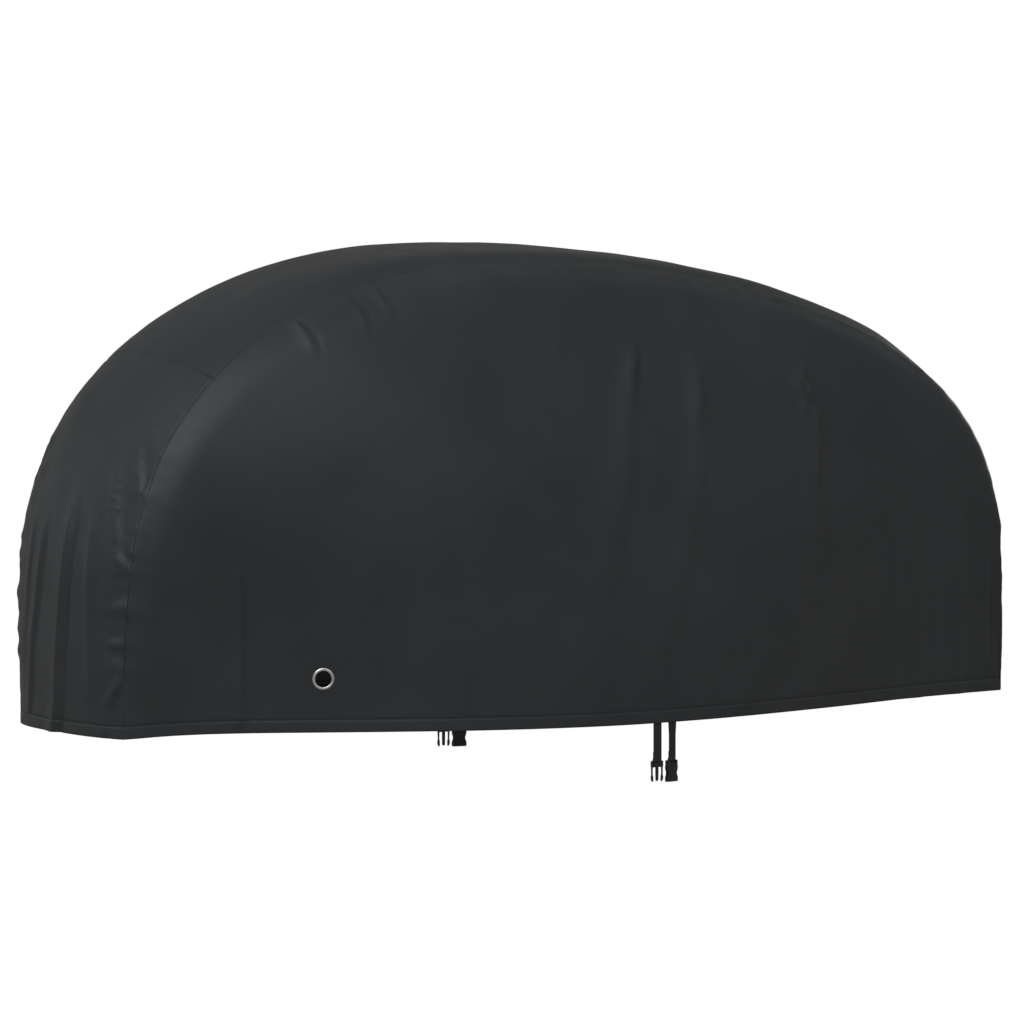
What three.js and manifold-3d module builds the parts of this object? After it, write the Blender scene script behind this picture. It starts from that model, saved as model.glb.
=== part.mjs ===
// A fitted motorcycle cover as it hangs when in use: one strip over the middle, sewn between two D-shaped
// side panels, with a metal eyelet low in each side and a pair of buckled straps inside each hem.
// Millimetres. x runs back from the front hem, y to the right, and z up from the level of the hem.

import * as THREE from "three";
import Module from "manifold-3d";
import { mergeVertices } from "three/addons/utils/BufferGeometryUtils.js";

const clothThickness = 2;
const pieceGap = 0.3;

// The seam between the strip and a side panel, from the front hem over the top to the rear hem:
// place and height of the seam, half the strip's width there, and how far the strip's middle stands proud.
const seamSections = [
  { x: 0, z: 0, half: 270, crown: 40 },
  { x: 5, z: 300, half: 280, crown: 50 },
  { x: 35, z: 540, half: 286, crown: 58 },
  { x: 135, z: 775, half: 283, crown: 60 },
  { x: 260, z: 920, half: 276, crown: 56 },
  { x: 400, z: 1027, half: 265, crown: 45 },
  { x: 600, z: 1120, half: 255, crown: 33 },
  { x: 860, z: 1185, half: 243, crown: 20 },
  { x: 1160, z: 1198, half: 234, crown: 13 },
  { x: 1460, z: 1177, half: 234, crown: 13 },
  { x: 1780, z: 1126, half: 240, crown: 14 },
  { x: 2100, z: 1036, half: 250, crown: 15 },
  { x: 2355, z: 910, half: 258, crown: 18 },
  { x: 2530, z: 745, half: 263, crown: 22 },
  { x: 2635, z: 515, half: 267, crown: 25 },
  { x: 2650, z: 295, half: 269, crown: 26 },
  { x: 2650, z: 0, half: 270, crown: 25 },
];
const crownPower = 2.6; // above 2, the strip is flatter in its middle than a round arch

// The hem of a side panel, seen from above: half the cover's width, and how far the edge stands off level.
const hemSections = [
  { x: 0, half: 270, rise: 0 },
  { x: 130, half: 255, rise: 2 },
  { x: 240, half: 262, rise: 2 },
  { x: 350, half: 286, rise: 1 },
  { x: 520, half: 350, rise: 0 },
  { x: 720, half: 430, rise: -1 },
  { x: 920, half: 500, rise: -2 },
  { x: 1100, half: 537, rise: -3 },
  { x: 1300, half: 553, rise: -4 },
  { x: 1500, half: 548, rise: -3 },
  { x: 1700, half: 522, rise: -2 },
  { x: 1900, half: 476, rise: -1 },
  { x: 2100, half: 414, rise: -1 },
  { x: 2300, half: 350, rise: 0 },
  { x: 2480, half: 303, rise: 0 },
  { x: 2650, half: 270, rise: 0 },
];
const shoulderPower = 2; // how late a side panel turns out below its seam
const shoulderRoot = 1.4; // how round that turn is

// The front panel ends at a cross seam, which meets the side seams at this place along the cover.
const crossSeamPlace = 272;

// Folds of a side panel: height of the head and foot, place along the cover at each, sideways bow between
// them, lift off the panel, and half the width of the ridge. side is -1 on the left and 1 on the right.
const sideFolds = [
  { side: -1, head: 1010, headAt: 1458, foot: 330, footAt: 1255, bow: 0, lift: 13, width: 24 },
  { side: -1, head: 985, headAt: 1660, foot: 60, footAt: 1360, bow: 30, lift: 15, width: 26 },
  { side: -1, head: 915, headAt: 1988, foot: -60, footAt: 1660, bow: 100, lift: 14, width: 28 },
  { side: -1, head: 520, headAt: 326, foot: -300, footAt: 340, bow: 0, lift: 6, width: 24 },
  { side: -1, head: 540, headAt: 2366, foot: -300, footAt: 2350, bow: 0, lift: 7, width: 26 },
  { side: -1, head: 560, headAt: 2508, foot: -300, footAt: 2495, bow: 0, lift: 6, width: 22 },
  { side: 1, head: 980, headAt: 1300, foot: 250, footAt: 1180, bow: 20, lift: 12, width: 26 },
  { side: 1, head: 950, headAt: 1700, foot: 90, footAt: 1480, bow: 40, lift: 14, width: 27 },
  { side: 1, head: 880, headAt: 2030, foot: -60, footAt: 1800, bow: 60, lift: 11, width: 28 },
  { side: 1, head: 500, headAt: 350, foot: -300, footAt: 360, bow: 0, lift: 6, width: 26 },
  { side: 1, head: 540, headAt: 2400, foot: -300, footAt: 2390, bow: 0, lift: 7, width: 26 },
];

// Folds of the strip where it hangs down the front and the rear: head and foot as girths from the hem
// at that end, places at each as a share of half the strip's width, and bow, lift and width as above.
const frontFolds = [
  { head: 690, headAt: -0.24, foot: -200, footAt: 0.12, bow: 0.02, lift: 14, width: 20 },
  { head: 600, headAt: 0.22, foot: 40, footAt: 0.86, bow: -0.06, lift: 9, width: 20 },
  { head: 660, headAt: -0.56, foot: 260, footAt: -0.6, bow: 0.06, lift: 8, width: 16 },
  { head: 760, headAt: -0.56, foot: 380, footAt: -0.84, bow: 0, lift: 9, width: 15 },
  { head: 680, headAt: 0.7, foot: 120, footAt: 0.7, bow: 0.03, lift: 8, width: 22 },
];
const rearFolds = [
  { head: 620, headAt: 0.3, foot: -200, footAt: 0.12, bow: 0.02, lift: 11, width: 24 },
  { head: 560, headAt: -0.38, foot: -200, footAt: -0.5, bow: 0, lift: 9, width: 22 },
  { head: 420, headAt: 0.66, foot: -200, footAt: 0.62, bow: 0, lift: 7, width: 22 },
];

// Where the columns of a side panel's cells stand, at the hem and at the seam above, with the number of
// cells up to each from the one before. They lean back with the folds and close up on them.
const sideColumns = [
  { hem: 175, seam: crossSeamPlace, cells: 4 },
  { hem: 440, seam: 500, cells: 5 },
  { hem: 650, seam: 760, cells: 5 },
  { hem: 1110, seam: 1440, cells: 7 },
  { hem: 1230, seam: 1570, cells: 5 },
  { hem: 1290, seam: 1640, cells: 2 },
  { hem: 1420, seam: 1790, cells: 5 },
  { hem: 1660, seam: 2010, cells: 5 },
  { hem: 1800, seam: 2140, cells: 5 },
  { hem: 2280, seam: 2380, cells: 7 },
  { hem: 2650, seam: null, cells: 8 },
];
const sideRows = 14;
const rowCrowding = 1.35; // above 1, the rows close up towards the seam, where the panel turns most
const uprightGirth = 700; // girth of the seam that stands upright at each end of a side panel

const frontAcross = 22;
const topAcross = 8;

// The piece of side panel that holds the eyelet, as cells of that panel, and the eyelet itself.
const eyeletStrip = { firstColumn: 9, lastColumn: 14, rows: 3 };
const eyelet = { x: 545, z: 140, hole: 21.5, barrel: 23.5, flange: 29, washer: 28, sides: 20 };
const eyeletClearance = 0.4;
const clothHole = 24.3;

// Webbing straps, sewn inside the hem and looped round the bar of their buckle: how far they stand off the
// cloth, how far they reach up inside it and down to the bar, the length turned back above the bar, and
// the drop in which they take up their twist. turn is that twist in degrees, counter-clockwise from above.
const strap = {
  width: 25,
  thickness: 1.5,
  clearance: 1.1,
  sewnHeight: 28,
  toBar: 104,
  turnedBack: 26,
  settle: 40,
};
const strapPlaces = [
  { name: "front_left", side: -1, x: 1440, turn: 0, end: "plug" },
  { name: "rear_left", side: -1, x: 1486, turn: 12, end: "socket" },
  { name: "front_right", side: 1, x: 1440, turn: 4, end: "plug" },
  { name: "rear_right", side: 1, x: 1486, turn: -5, end: "socket" },
];

// A side-release buckle: its bar stands between two lugs, over a plug with three prongs or a socket. The
// socket's mouth opens below, and a window in each side shows the catch of the prong.
const buckle = { halfWidth: 18, lug: 4, shoulder: 14, bar: 1.8, plugDepth: 6, socketDepth: 11 };
const socketMouth = { width: 27, depth: 6.4, top: -20, bottom: -54, windowTop: -26, windowBottom: -37 };
const loopRadius = buckle.bar + pieceGap + strap.thickness / 2;

// The inner face of the strip's middle, at the highest part of the top.
const heldAt = { x: 1160, z: 1210 };

// Values between the rows of a table: a smooth curve through column `name`, keyed by column `key`.
function between(rows, key, name, at) {
  const last = rows.length - 1;
  let i = 0;
  while (i < last - 1 && at > rows[i + 1][key]) i += 1;
  const slope = (a, b) => (rows[b][name] - rows[a][name]) / (rows[b][key] - rows[a][key]);
  const step = (a) => rows[a + 1][key] - rows[a][key];
  const tangent = (k) => {
    if (k === 0) return slope(0, 1);
    if (k === last) return slope(last - 1, last);
    return (slope(k - 1, k) * step(k) + slope(k, k + 1) * step(k - 1)) / (step(k - 1) + step(k));
  };
  const h = step(i);
  const u = THREE.MathUtils.clamp((at - rows[i][key]) / h, 0, 1);
  const rest = 1 - u;
  return (
    rest * rest * (1 + 2 * u) * rows[i][name] +
    u * u * (3 - 2 * u) * rows[i + 1][name] +
    u * rest * h * (rest * tangent(i) - u * tangent(i + 1))
  );
}

// Each seam section gets its girth: the length of cloth from the front hem.
seamSections.forEach((row, i) => {
  const before = seamSections[i - 1];
  row.girth = before ? before.girth + Math.hypot(row.x - before.x, row.z - before.z) : 0;
});
const fullGirth = seamSections.at(-1).girth;
const coverLength = hemSections.at(-1).x;

const seamAt = (girth, name) => between(seamSections, "girth", name, girth);

// The girth at which the seam passes a place along the cover.
function girthAt(x) {
  let low = 0;
  let high = fullGirth;
  for (let i = 0; i < 40; i += 1) {
    const middle = (low + high) / 2;
    if (seamAt(middle, "x") < x) low = middle;
    else high = middle;
  }
  return low;
}

// Lift of the folds in a table at one point: a rounded ridge that starts at its head and dies at its foot.
function foldLift(folds, across, height, acrossScale = 1) {
  let lift = 0;
  for (const fold of folds) {
    const down = (fold.head - height) / (fold.head - fold.foot);
    if (down <= 0 || down >= 1) continue;
    const middle = fold.headAt + (fold.footAt - fold.headAt) * down + fold.bow * 4 * down * (1 - down);
    const off = ((across - middle) * acrossScale) / (fold.width * (0.75 + 0.5 * down));
    const grown = THREE.MathUtils.smoothstep(down, 0, 0.14);
    const faded = 1 - THREE.MathUtils.smoothstep(down, 0.35, 1);
    lift += fold.lift * grown * faded * Math.exp(-off * off);
  }
  return lift;
}

// The strip's middle surface at a girth, and across it from -1 at the left seam to 1 at the right.
function stripPoint(girth, across, lift = 0) {
  const reach = 1;
  const before = Math.max(girth - reach, 0);
  const after = Math.min(girth + reach, fullGirth);
  const along = new THREE.Vector2(
    seamAt(after, "x") - seamAt(before, "x"),
    seamAt(after, "z") - seamAt(before, "z"),
  ).normalize();
  const proud = seamAt(girth, "crown") * (1 - Math.abs(across) ** crownPower) + lift;
  return new THREE.Vector3(
    seamAt(girth, "x") - along.y * proud,
    across * seamAt(girth, "half"),
    seamAt(girth, "z") + along.x * proud,
  );
}

function stripNormal(girth, across) {
  const reach = 2;
  const step = 0.01;
  const g = THREE.MathUtils.clamp(girth, reach, fullGirth - reach);
  const a = THREE.MathUtils.clamp(across, -1 + step, 1 - step);
  const along = stripPoint(g + reach, a).sub(stripPoint(g - reach, a));
  const over = stripPoint(g, a + step).sub(stripPoint(g, a - step));
  return along.cross(over).normalize();
}

// Seam height and half-width above a place along the cover, looked up once for speed.
const seamTable = [];
for (let girth = 0; girth <= fullGirth; girth += 2) {
  seamTable.push({ x: seamAt(girth, "x"), z: seamAt(girth, "z"), half: seamAt(girth, "half") });
}
function seamOver(x) {
  let low = 0;
  let high = seamTable.length - 1;
  while (high - low > 1) {
    const middle = (low + high) >> 1;
    if (seamTable[middle].x < x) low = middle;
    else high = middle;
  }
  const a = seamTable[low];
  const b = seamTable[high];
  const u = THREE.MathUtils.clamp((x - a.x) / Math.max(b.x - a.x, 1e-6), 0, 1);
  return { z: a.z + (b.z - a.z) * u, half: a.half + (b.half - a.half) * u };
}

// Distance of a side panel from the cover's middle plane at a point of its outline.
function sideReach(x, z) {
  const seam = seamOver(x);
  const up = THREE.MathUtils.clamp(z / Math.max(seam.z, 1), 0, 1);
  const out = (1 - up ** shoulderPower) ** (1 / shoulderRoot);
  return seam.half + (between(hemSections, "x", "half", x) - seam.half) * out;
}

// Normal of the left side panel, taken a little inside the outline because the panel turns sharply there.
function sideNormal(x, z) {
  const heart = new THREE.Vector2(coverLength / 2, 300);
  const inside = new THREE.Vector2(x, z);
  inside.add(heart.sub(inside).setLength(16));
  const reach = 8;
  const alongX = sideReach(inside.x + reach, inside.y) - sideReach(inside.x - reach, inside.y);
  const alongZ = sideReach(inside.x, inside.y + reach) - sideReach(inside.x, inside.y - reach);
  return new THREE.Vector3(-alongX, -2 * reach, -alongZ).normalize();
}

// Rows and columns of a side panel's cells, and the girths of the seam where they meet it.
const rowShares = [];
for (let r = 0; r <= sideRows; r += 1) rowShares.push(1 - (1 - r / sideRows) ** rowCrowding);
const columnPlaces = [{ hem: 0, girth: uprightGirth }];
for (const mark of sideColumns) {
  const from = columnPlaces.at(-1);
  const girth = mark.seam === null ? fullGirth - uprightGirth : girthAt(mark.seam);
  for (let k = 1; k <= mark.cells; k += 1) {
    const u = k / mark.cells;
    columnPlaces.push({
      hem: from.hem + (mark.hem - from.hem) * u,
      girth: from.girth + (girth - from.girth) * u,
    });
  }
}
const lastColumn = columnPlaces.length - 1;
const seamGirths = [
  ...rowShares.slice(0, -1).map((share) => share * uprightGirth),
  ...columnPlaces.map((place) => place.girth),
  ...rowShares.slice(0, -1).map((share) => fullGirth - share * uprightGirth).reverse(),
];

// Place of a cell corner on a side panel's outline plane: a patch blended from the hem, the two upright
// seams and the seam over the top.
function sidePlace(r, c) {
  const seam = (girth) => new THREE.Vector2(seamAt(girth, "x"), seamAt(girth, "z"));
  const up = rowShares[r];
  const u = columnPlaces[c].hem / coverLength;
  const point = new THREE.Vector2(columnPlaces[c].hem, 0).multiplyScalar(1 - up);
  point.addScaledVector(seam(columnPlaces[c].girth), up);
  point.addScaledVector(seam(up * uprightGirth), 1 - u);
  point.addScaledVector(seam(fullGirth - up * uprightGirth), u);
  point.x -= u * (1 - up) * coverLength;
  point.addScaledVector(seam(uprightGirth), -(1 - u) * up);
  point.addScaledVector(seam(fullGirth - uprightGirth), -u * up);
  return point;
}

// The mitre that both pieces share at a point of the left seam, and the direction square to it.
function seamMitre(girth) {
  const point = stripPoint(girth, -1);
  const strip = stripNormal(girth, -1);
  const side = sideNormal(point.x, point.z);
  const mitre = strip.clone().add(side).divideScalar(1 + strip.dot(side));
  const before = stripPoint(Math.max(girth - 4, 0), -1);
  const after = stripPoint(Math.min(girth + 4, fullGirth), -1);
  const towardsStrip = mitre.clone().cross(after.sub(before)).normalize();
  return { mitre, towardsStrip };
}

// A closed shell from a grid of corners, each with its outer and inner point. Cells that `used` leaves
// out are open, and every edge gets its rim. facing is 1 or -1, the way that turns the faces out.
function clothShell(corners, used, facing) {
  const rows = corners.length;
  const columns = corners[0].length;
  const positions = [];
  corners.flat().forEach(({ outer, inner }) => positions.push(...outer.toArray(), ...inner.toArray()));
  const outerIndex = (r, c) => 2 * (r * columns + c);
  const innerIndex = (r, c) => outerIndex(r, c) + 1;
  const faces = [];
  const quad = (a, b, c, d) => {
    if (facing > 0) faces.push(a, b, c, a, c, d);
    else faces.push(a, c, b, a, d, c);
  };
  const isUsed = (r, c) => r >= 0 && c >= 0 && r < rows - 1 && c < columns - 1 && used(r, c);
  const rim = (r0, c0, r1, c1) =>
    quad(outerIndex(r0, c0), innerIndex(r0, c0), innerIndex(r1, c1), outerIndex(r1, c1));
  for (let r = 0; r < rows - 1; r += 1) {
    for (let c = 0; c < columns - 1; c += 1) {
      if (!isUsed(r, c)) continue;
      quad(outerIndex(r, c), outerIndex(r, c + 1), outerIndex(r + 1, c + 1), outerIndex(r + 1, c));
      quad(innerIndex(r, c), innerIndex(r + 1, c), innerIndex(r + 1, c + 1), innerIndex(r, c + 1));
      if (!isUsed(r - 1, c)) rim(r, c, r, c + 1);
      if (!isUsed(r, c + 1)) rim(r, c + 1, r + 1, c + 1);
      if (!isUsed(r + 1, c)) rim(r + 1, c + 1, r + 1, c);
      if (!isUsed(r, c - 1)) rim(r + 1, c, r, c);
    }
  }
  const geometry = new THREE.BufferGeometry();
  geometry.setAttribute("position", new THREE.Float32BufferAttribute(positions, 3));
  geometry.setIndex(faces);
  const keptOnly = geometry.toNonIndexed();
  return mergeVertices(keptOnly, 1e-4);
}

const corner = (point, halfThick) => ({
  outer: point.clone().add(halfThick),
  inner: point.clone().sub(halfThick),
});
const mirrored = (vector) => vector.clone().setY(-vector.y);
const halfCloth = clothThickness / 2;

// Part of the strip between two girths of the seam, with the folds that hang in it.
function stripPanel(firstGirth, lastGirth, cellsAcross) {
  const inside = seamGirths.filter((girth) => girth > firstGirth + 1 && girth < lastGirth - 1);
  const girths = [firstGirth, ...inside, lastGirth];
  const corners = girths.map((seamGirth, i) => {
    let girth = seamGirth;
    if (i === 0 && firstGirth > 0) girth += pieceGap / 2;
    if (i === girths.length - 1 && lastGirth < fullGirth) girth -= pieceGap / 2;
    const { mitre, towardsStrip } = seamMitre(girth);
    const edgePoint = stripPoint(girth, -1).addScaledVector(towardsStrip, pieceGap / 2);
    const edge = corner(edgePoint, mitre.multiplyScalar(halfCloth));
    const row = [edge];
    for (let k = 1; k < cellsAcross; k += 1) {
      const across = (2 * k) / cellsAcross - 1;
      const half = seamAt(girth, "half");
      const lift =
        foldLift(frontFolds, across, girth, half) +
        foldLift(rearFolds, across, fullGirth - girth, half);
      const halfThick = stripNormal(girth, across).multiplyScalar(halfCloth);
      row.push(corner(stripPoint(girth, across, lift), halfThick));
    }
    row.push({ outer: mirrored(edge.outer), inner: mirrored(edge.inner) });
    return row;
  });
  return clothShell(corners, () => true, -1);
}

// A corner of a side panel's cells. shift moves the corners round the eyelet strip by half the gap there.
function sideCorner(side, r, c, shift) {
  const onSeam = r === sideRows || ((c === 0 || c === lastColumn) && r > 0);
  if (onSeam) {
    let girth = columnPlaces[c].girth;
    if (r < sideRows) girth = rowShares[r] * uprightGirth;
    if (r < sideRows && c === lastColumn) girth = fullGirth - girth;
    return seamCorner(side, girth);
  }
  if (c === 0) return seamCorner(side, 0);
  if (c === lastColumn) return seamCorner(side, fullGirth);
  const place = sidePlace(r, c).add(shift);
  const rise = between(hemSections, "x", "rise", place.x) * (1 - place.y / seamOver(place.x).z);
  const folds = sideFolds.filter((fold) => fold.side === side);
  const lift = foldLift(folds, place.x, place.y);
  const normal = sideNormal(place.x, place.y);
  const point = new THREE.Vector3(place.x, -sideReach(place.x, place.y), place.y + rise);
  const made = corner(point.addScaledVector(normal, lift), normal.multiplyScalar(halfCloth));
  return side < 0 ? made : { outer: mirrored(made.outer), inner: mirrored(made.inner) };
}

function seamCorner(side, girth) {
  const { mitre, towardsStrip } = seamMitre(girth);
  const point = stripPoint(girth, -1).addScaledVector(towardsStrip, -pieceGap / 2);
  const made = corner(point, mitre.multiplyScalar(halfCloth));
  return side < 0 ? made : { outer: mirrored(made.outer), inner: mirrored(made.inner) };
}

// Half the gap between a side panel and its eyelet strip, as a shift of a corner away from the strip.
function stripShift(r, c) {
  const { firstColumn, lastColumn: last, rows } = eyeletStrip;
  const shift = new THREE.Vector2(0, 0);
  if (r > rows || c < firstColumn || c > last) return shift;
  if (c === firstColumn) shift.x = -pieceGap / 2;
  if (c === last) shift.x = pieceGap / 2;
  if (r === rows) shift.y = pieceGap / 2;
  return shift;
}
const inStrip = (r, c) =>
  r < eyeletStrip.rows && c >= eyeletStrip.firstColumn && c < eyeletStrip.lastColumn;

function sidePanel(side, awayFromStrip, used) {
  const corners = rowShares.map((_, r) =>
    columnPlaces.map((__, c) => sideCorner(side, r, c, stripShift(r, c).multiplyScalar(awayFromStrip))),
  );
  return clothShell(corners, used, side < 0 ? 1 : -1);
}

// Joining and cutting of closed meshes.
const wasm = await Module();
wasm.setup();
function toSolid(geometry) {
  const bare = geometry.index ? geometry.toNonIndexed() : geometry.clone();
  bare.deleteAttribute("normal");
  bare.deleteAttribute("uv");
  const merged = mergeVertices(bare, 1e-4);
  return new wasm.Manifold(
    new wasm.Mesh({
      numProp: 3,
      vertProperties: merged.attributes.position.array,
      triVerts: new Uint32Array(merged.index.array),
    }),
  );
}
function toGeometry(solid) {
  const mesh = solid.getMesh();
  const geometry = new THREE.BufferGeometry();
  geometry.setAttribute("position", new THREE.BufferAttribute(mesh.vertProperties, 3));
  geometry.setIndex(new THREE.BufferAttribute(mesh.triVerts, 1));
  return geometry;
}

// The eyelet's frame: its middle on the cloth and the direction that its face looks in.
function eyeletFrame(side) {
  const middle = new THREE.Vector3(eyelet.x, -sideReach(eyelet.x, eyelet.z), eyelet.z);
  const face = sideNormal(eyelet.x, eyelet.z);
  if (side < 0) return { middle, face };
  return { middle: mirrored(middle), face: mirrored(face) };
}
const upAxis = new THREE.Vector3(0, 1, 0);

function eyeletStripPiece(side) {
  const strip = sidePanel(side, -1, inStrip);
  const { middle, face } = eyeletFrame(side);
  const punch = new THREE.CylinderGeometry(clothHole, clothHole, 40, eyelet.sides);
  punch.applyQuaternion(new THREE.Quaternion().setFromUnitVectors(upAxis, face));
  punch.translate(middle.x, middle.y, middle.z);
  return toGeometry(toSolid(strip).subtract(toSolid(punch)));
}

// Two-part eyelet: a rolled flange outside, a barrel through the cloth and a flat washer inside.
function eyeletRing() {
  const seat = halfCloth + eyeletClearance;
  const profile = [
    [eyelet.hole, -seat - 1.6],
    [eyelet.washer, -seat - 1.6],
    [eyelet.washer, -seat],
    [eyelet.barrel, -seat],
    [eyelet.barrel, seat],
    [eyelet.flange, seat],
    [eyelet.flange - 0.6, seat + 1.3],
    [eyelet.flange - 3, seat + 2.4],
    [eyelet.hole + 2, seat + 2.2],
    [eyelet.hole, seat + 0.8],
    [eyelet.hole, -seat - 1.6],
  ];
  return new THREE.LatheGeometry(profile.map(([r, y]) => new THREE.Vector2(r, y)), eyelet.sides);
}

// Place of the strap's middle line inside the wall at the hem, and the wall's angle there from above.
function strapTop(place) {
  const wall = sideReach(place.x, 0) - halfCloth;
  const half = strap.width / 2;
  const slope = (sideReach(place.x + half, 0) - sideReach(place.x - half, 0)) / strap.width;
  return {
    point: new THREE.Vector3(place.x, place.side * (wall - strap.clearance - strap.thickness / 2), 0),
    angle: place.side * Math.atan(slope),
  };
}

// The webbing's path from the side: down outside the bar, round it, and back up inside, where it is sewn.
function strapPath() {
  const { sewnHeight, toBar, turnedBack } = strap;
  const path = [[0, sewnHeight]];
  const lengthwise = 9;
  for (let k = 0; k <= lengthwise; k += 1) path.push([0, (-toBar * k) / lengthwise]);
  const halfTurn = 6;
  for (let k = 1; k <= halfTurn; k += 1) {
    const angle = (Math.PI * k) / halfTurn;
    path.push([loopRadius * (1 - Math.cos(angle)), -toBar - loopRadius * Math.sin(angle)]);
  }
  const together = strap.thickness + pieceGap;
  const closed = 11; // height above the bar at which the two layers lie together
  path.push([(3 * loopRadius + together) / 2.5, -toBar + closed / 3]);
  path.push([together, -toBar + closed], [together, -toBar + turnedBack]);
  return path;
}

function strapPiece(place) {
  const { point: top, angle } = strapTop(place);
  const path = strapPath();
  const half = strap.thickness / 2;
  const corners = path.map(([inward, z], i) => {
    const [a, b] = [path[Math.max(i - 1, 0)], path[Math.min(i + 1, path.length - 1)]];
    const run = new THREE.Vector2(b[0] - a[0], b[1] - a[1]).normalize();
    const settled = THREE.MathUtils.smoothstep(-z, 0, strap.settle);
    const turn = angle + THREE.MathUtils.degToRad(place.turn) * settled;
    return [-1, 1].map((edge) => {
      const at = (offset) =>
        new THREE.Vector3((edge * strap.width) / 2, -place.side * (inward + offset * run.y), 0)
          .applyAxisAngle(new THREE.Vector3(0, 0, 1), turn)
          .add(new THREE.Vector3(top.x, top.y, z - offset * run.x));
      return { outer: at(half), inner: at(-half) };
    });
  });
  return clothShell(corners, () => true, place.side);
}

// A buckle half in its own frame: x across, z up, y through it, and the middle of its bar at the origin.
// The outline is given for one side, from the top of a lug round to the middle, and mirrored.
function buckleBlank(outline, depth) {
  const shape = new THREE.Shape();
  const full = [...outline, ...outline.map(([x, z]) => [-x, z]).reverse()];
  full.forEach(([x, z], i) => (i ? shape.lineTo(x, z) : shape.moveTo(x, z)));
  const blank = new THREE.ExtrudeGeometry(shape, { depth, bevelEnabled: false });
  blank.translate(0, 0, -depth / 2).rotateX(Math.PI / 2);
  const bar = new THREE.CylinderGeometry(buckle.bar, buckle.bar, 2 * buckle.shoulder + buckle.lug, 12);
  bar.rotateZ(Math.PI / 2);
  return toSolid(blank).add(toSolid(bar));
}
const lugs = [
  [buckle.shoulder, -8],
  [buckle.shoulder, 2],
  [buckle.halfWidth - 1, 2],
  [buckle.halfWidth, 1],
];

function bucklePlug() {
  const outline = [
    ...lugs,
    [18, -12], [17, -14.5], [16.5, -34], [18, -40], [17.6, -46], [14.5, -52],
    [12.6, -50], [12.6, -38], [13.5, -34], [13.5, -15], [5, -14], [4.5, -46], [2, -50],
  ];
  return toGeometry(buckleBlank(outline, buckle.plugDepth));
}

function buckleSocket() {
  const outline = [
    ...lugs,
    [18, -11], [19, -15], [18.4, -22], [16, -28], [15.5, -32],
    [16.5, -37], [19, -42], [19, -52], [17.5, -54],
  ];
  const box = (width, depth, top, bottom) =>
    toSolid(new THREE.BoxGeometry(width, depth, top - bottom).translate(0, 0, (top + bottom) / 2));
  const { width, depth, top, bottom, windowTop, windowBottom } = socketMouth;
  const solid = buckleBlank(outline, buckle.socketDepth)
    .subtract(box(width, depth, top, bottom - 1))
    .subtract(box(3 * width, depth, windowTop, windowBottom));
  return toGeometry(solid);
}

// Materials, coloured as the pieces are.
const finish = (color, roughness, metalness = 0) =>
  new THREE.MeshStandardMaterial({ color, roughness, metalness });
const finishes = {
  cloth: () => finish(0x2b2c2e, 0.6),
  steel: () => finish(0xc9cbcd, 0.25, 1),
  webbing: () => finish(0x1b1b1d, 0.85),
  moulding: () => finish(0x17181a, 0.45),
};

// The whole cover is placed with its origin where what it covers holds it up.
const cover = new THREE.Group();
cover.position.set(-heldAt.x, 0, -heldAt.z);

function addPiece(name, geometry, finishName) {
  const mesh = new THREE.Mesh(geometry, finishes[finishName]());
  mesh.name = name;
  cover.add(mesh);
  return mesh;
}

const crossSeamGirth = girthAt(crossSeamPlace);
addPiece("front_panel", stripPanel(0, crossSeamGirth, frontAcross), "cloth");
addPiece("top_panel", stripPanel(crossSeamGirth, fullGirth, topAcross), "cloth");
for (const [sideName, side] of [["left", -1], ["right", 1]]) {
  addPiece(`side_panel_${sideName}`, sidePanel(side, 1, (r, c) => !inStrip(r, c)), "cloth");
  addPiece(`eyelet_strip_${sideName}`, eyeletStripPiece(side), "cloth");
  const { middle, face } = eyeletFrame(side);
  const ring = addPiece(`eyelet_${sideName}`, eyeletRing(), "steel");
  ring.position.copy(middle);
  ring.quaternion.setFromUnitVectors(upAxis, face);
}
for (const place of strapPlaces) {
  addPiece(`strap_${place.name}`, strapPiece(place), "webbing");
  const geometry = place.end === "plug" ? bucklePlug() : buckleSocket();
  const half = addPiece(`buckle_${place.end}_${place.side < 0 ? "left" : "right"}`, geometry, "moulding");
  const { point, angle } = strapTop(place);
  const turn = angle + THREE.MathUtils.degToRad(place.turn);
  const inward = new THREE.Vector3(0, -place.side * loopRadius, 0);
  half.position.copy(point).add(inward.applyAxisAngle(new THREE.Vector3(0, 0, 1), turn));
  half.position.z = -strap.toBar;
  half.rotation.z = turn;
}

export default cover;
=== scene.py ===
# A fitted motorcycle cover as it hangs in use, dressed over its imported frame: coated cloth panels sewn
# together, stitched seams and hems, steel eyelets, and webbing straps with side-release buckles.
# Metres. x runs back from the front, y to the right and z up, from the inner face of the cover's top.
import math

import bmesh
import bpy
import numpy as np
from mathutils import Matrix, Vector


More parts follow.
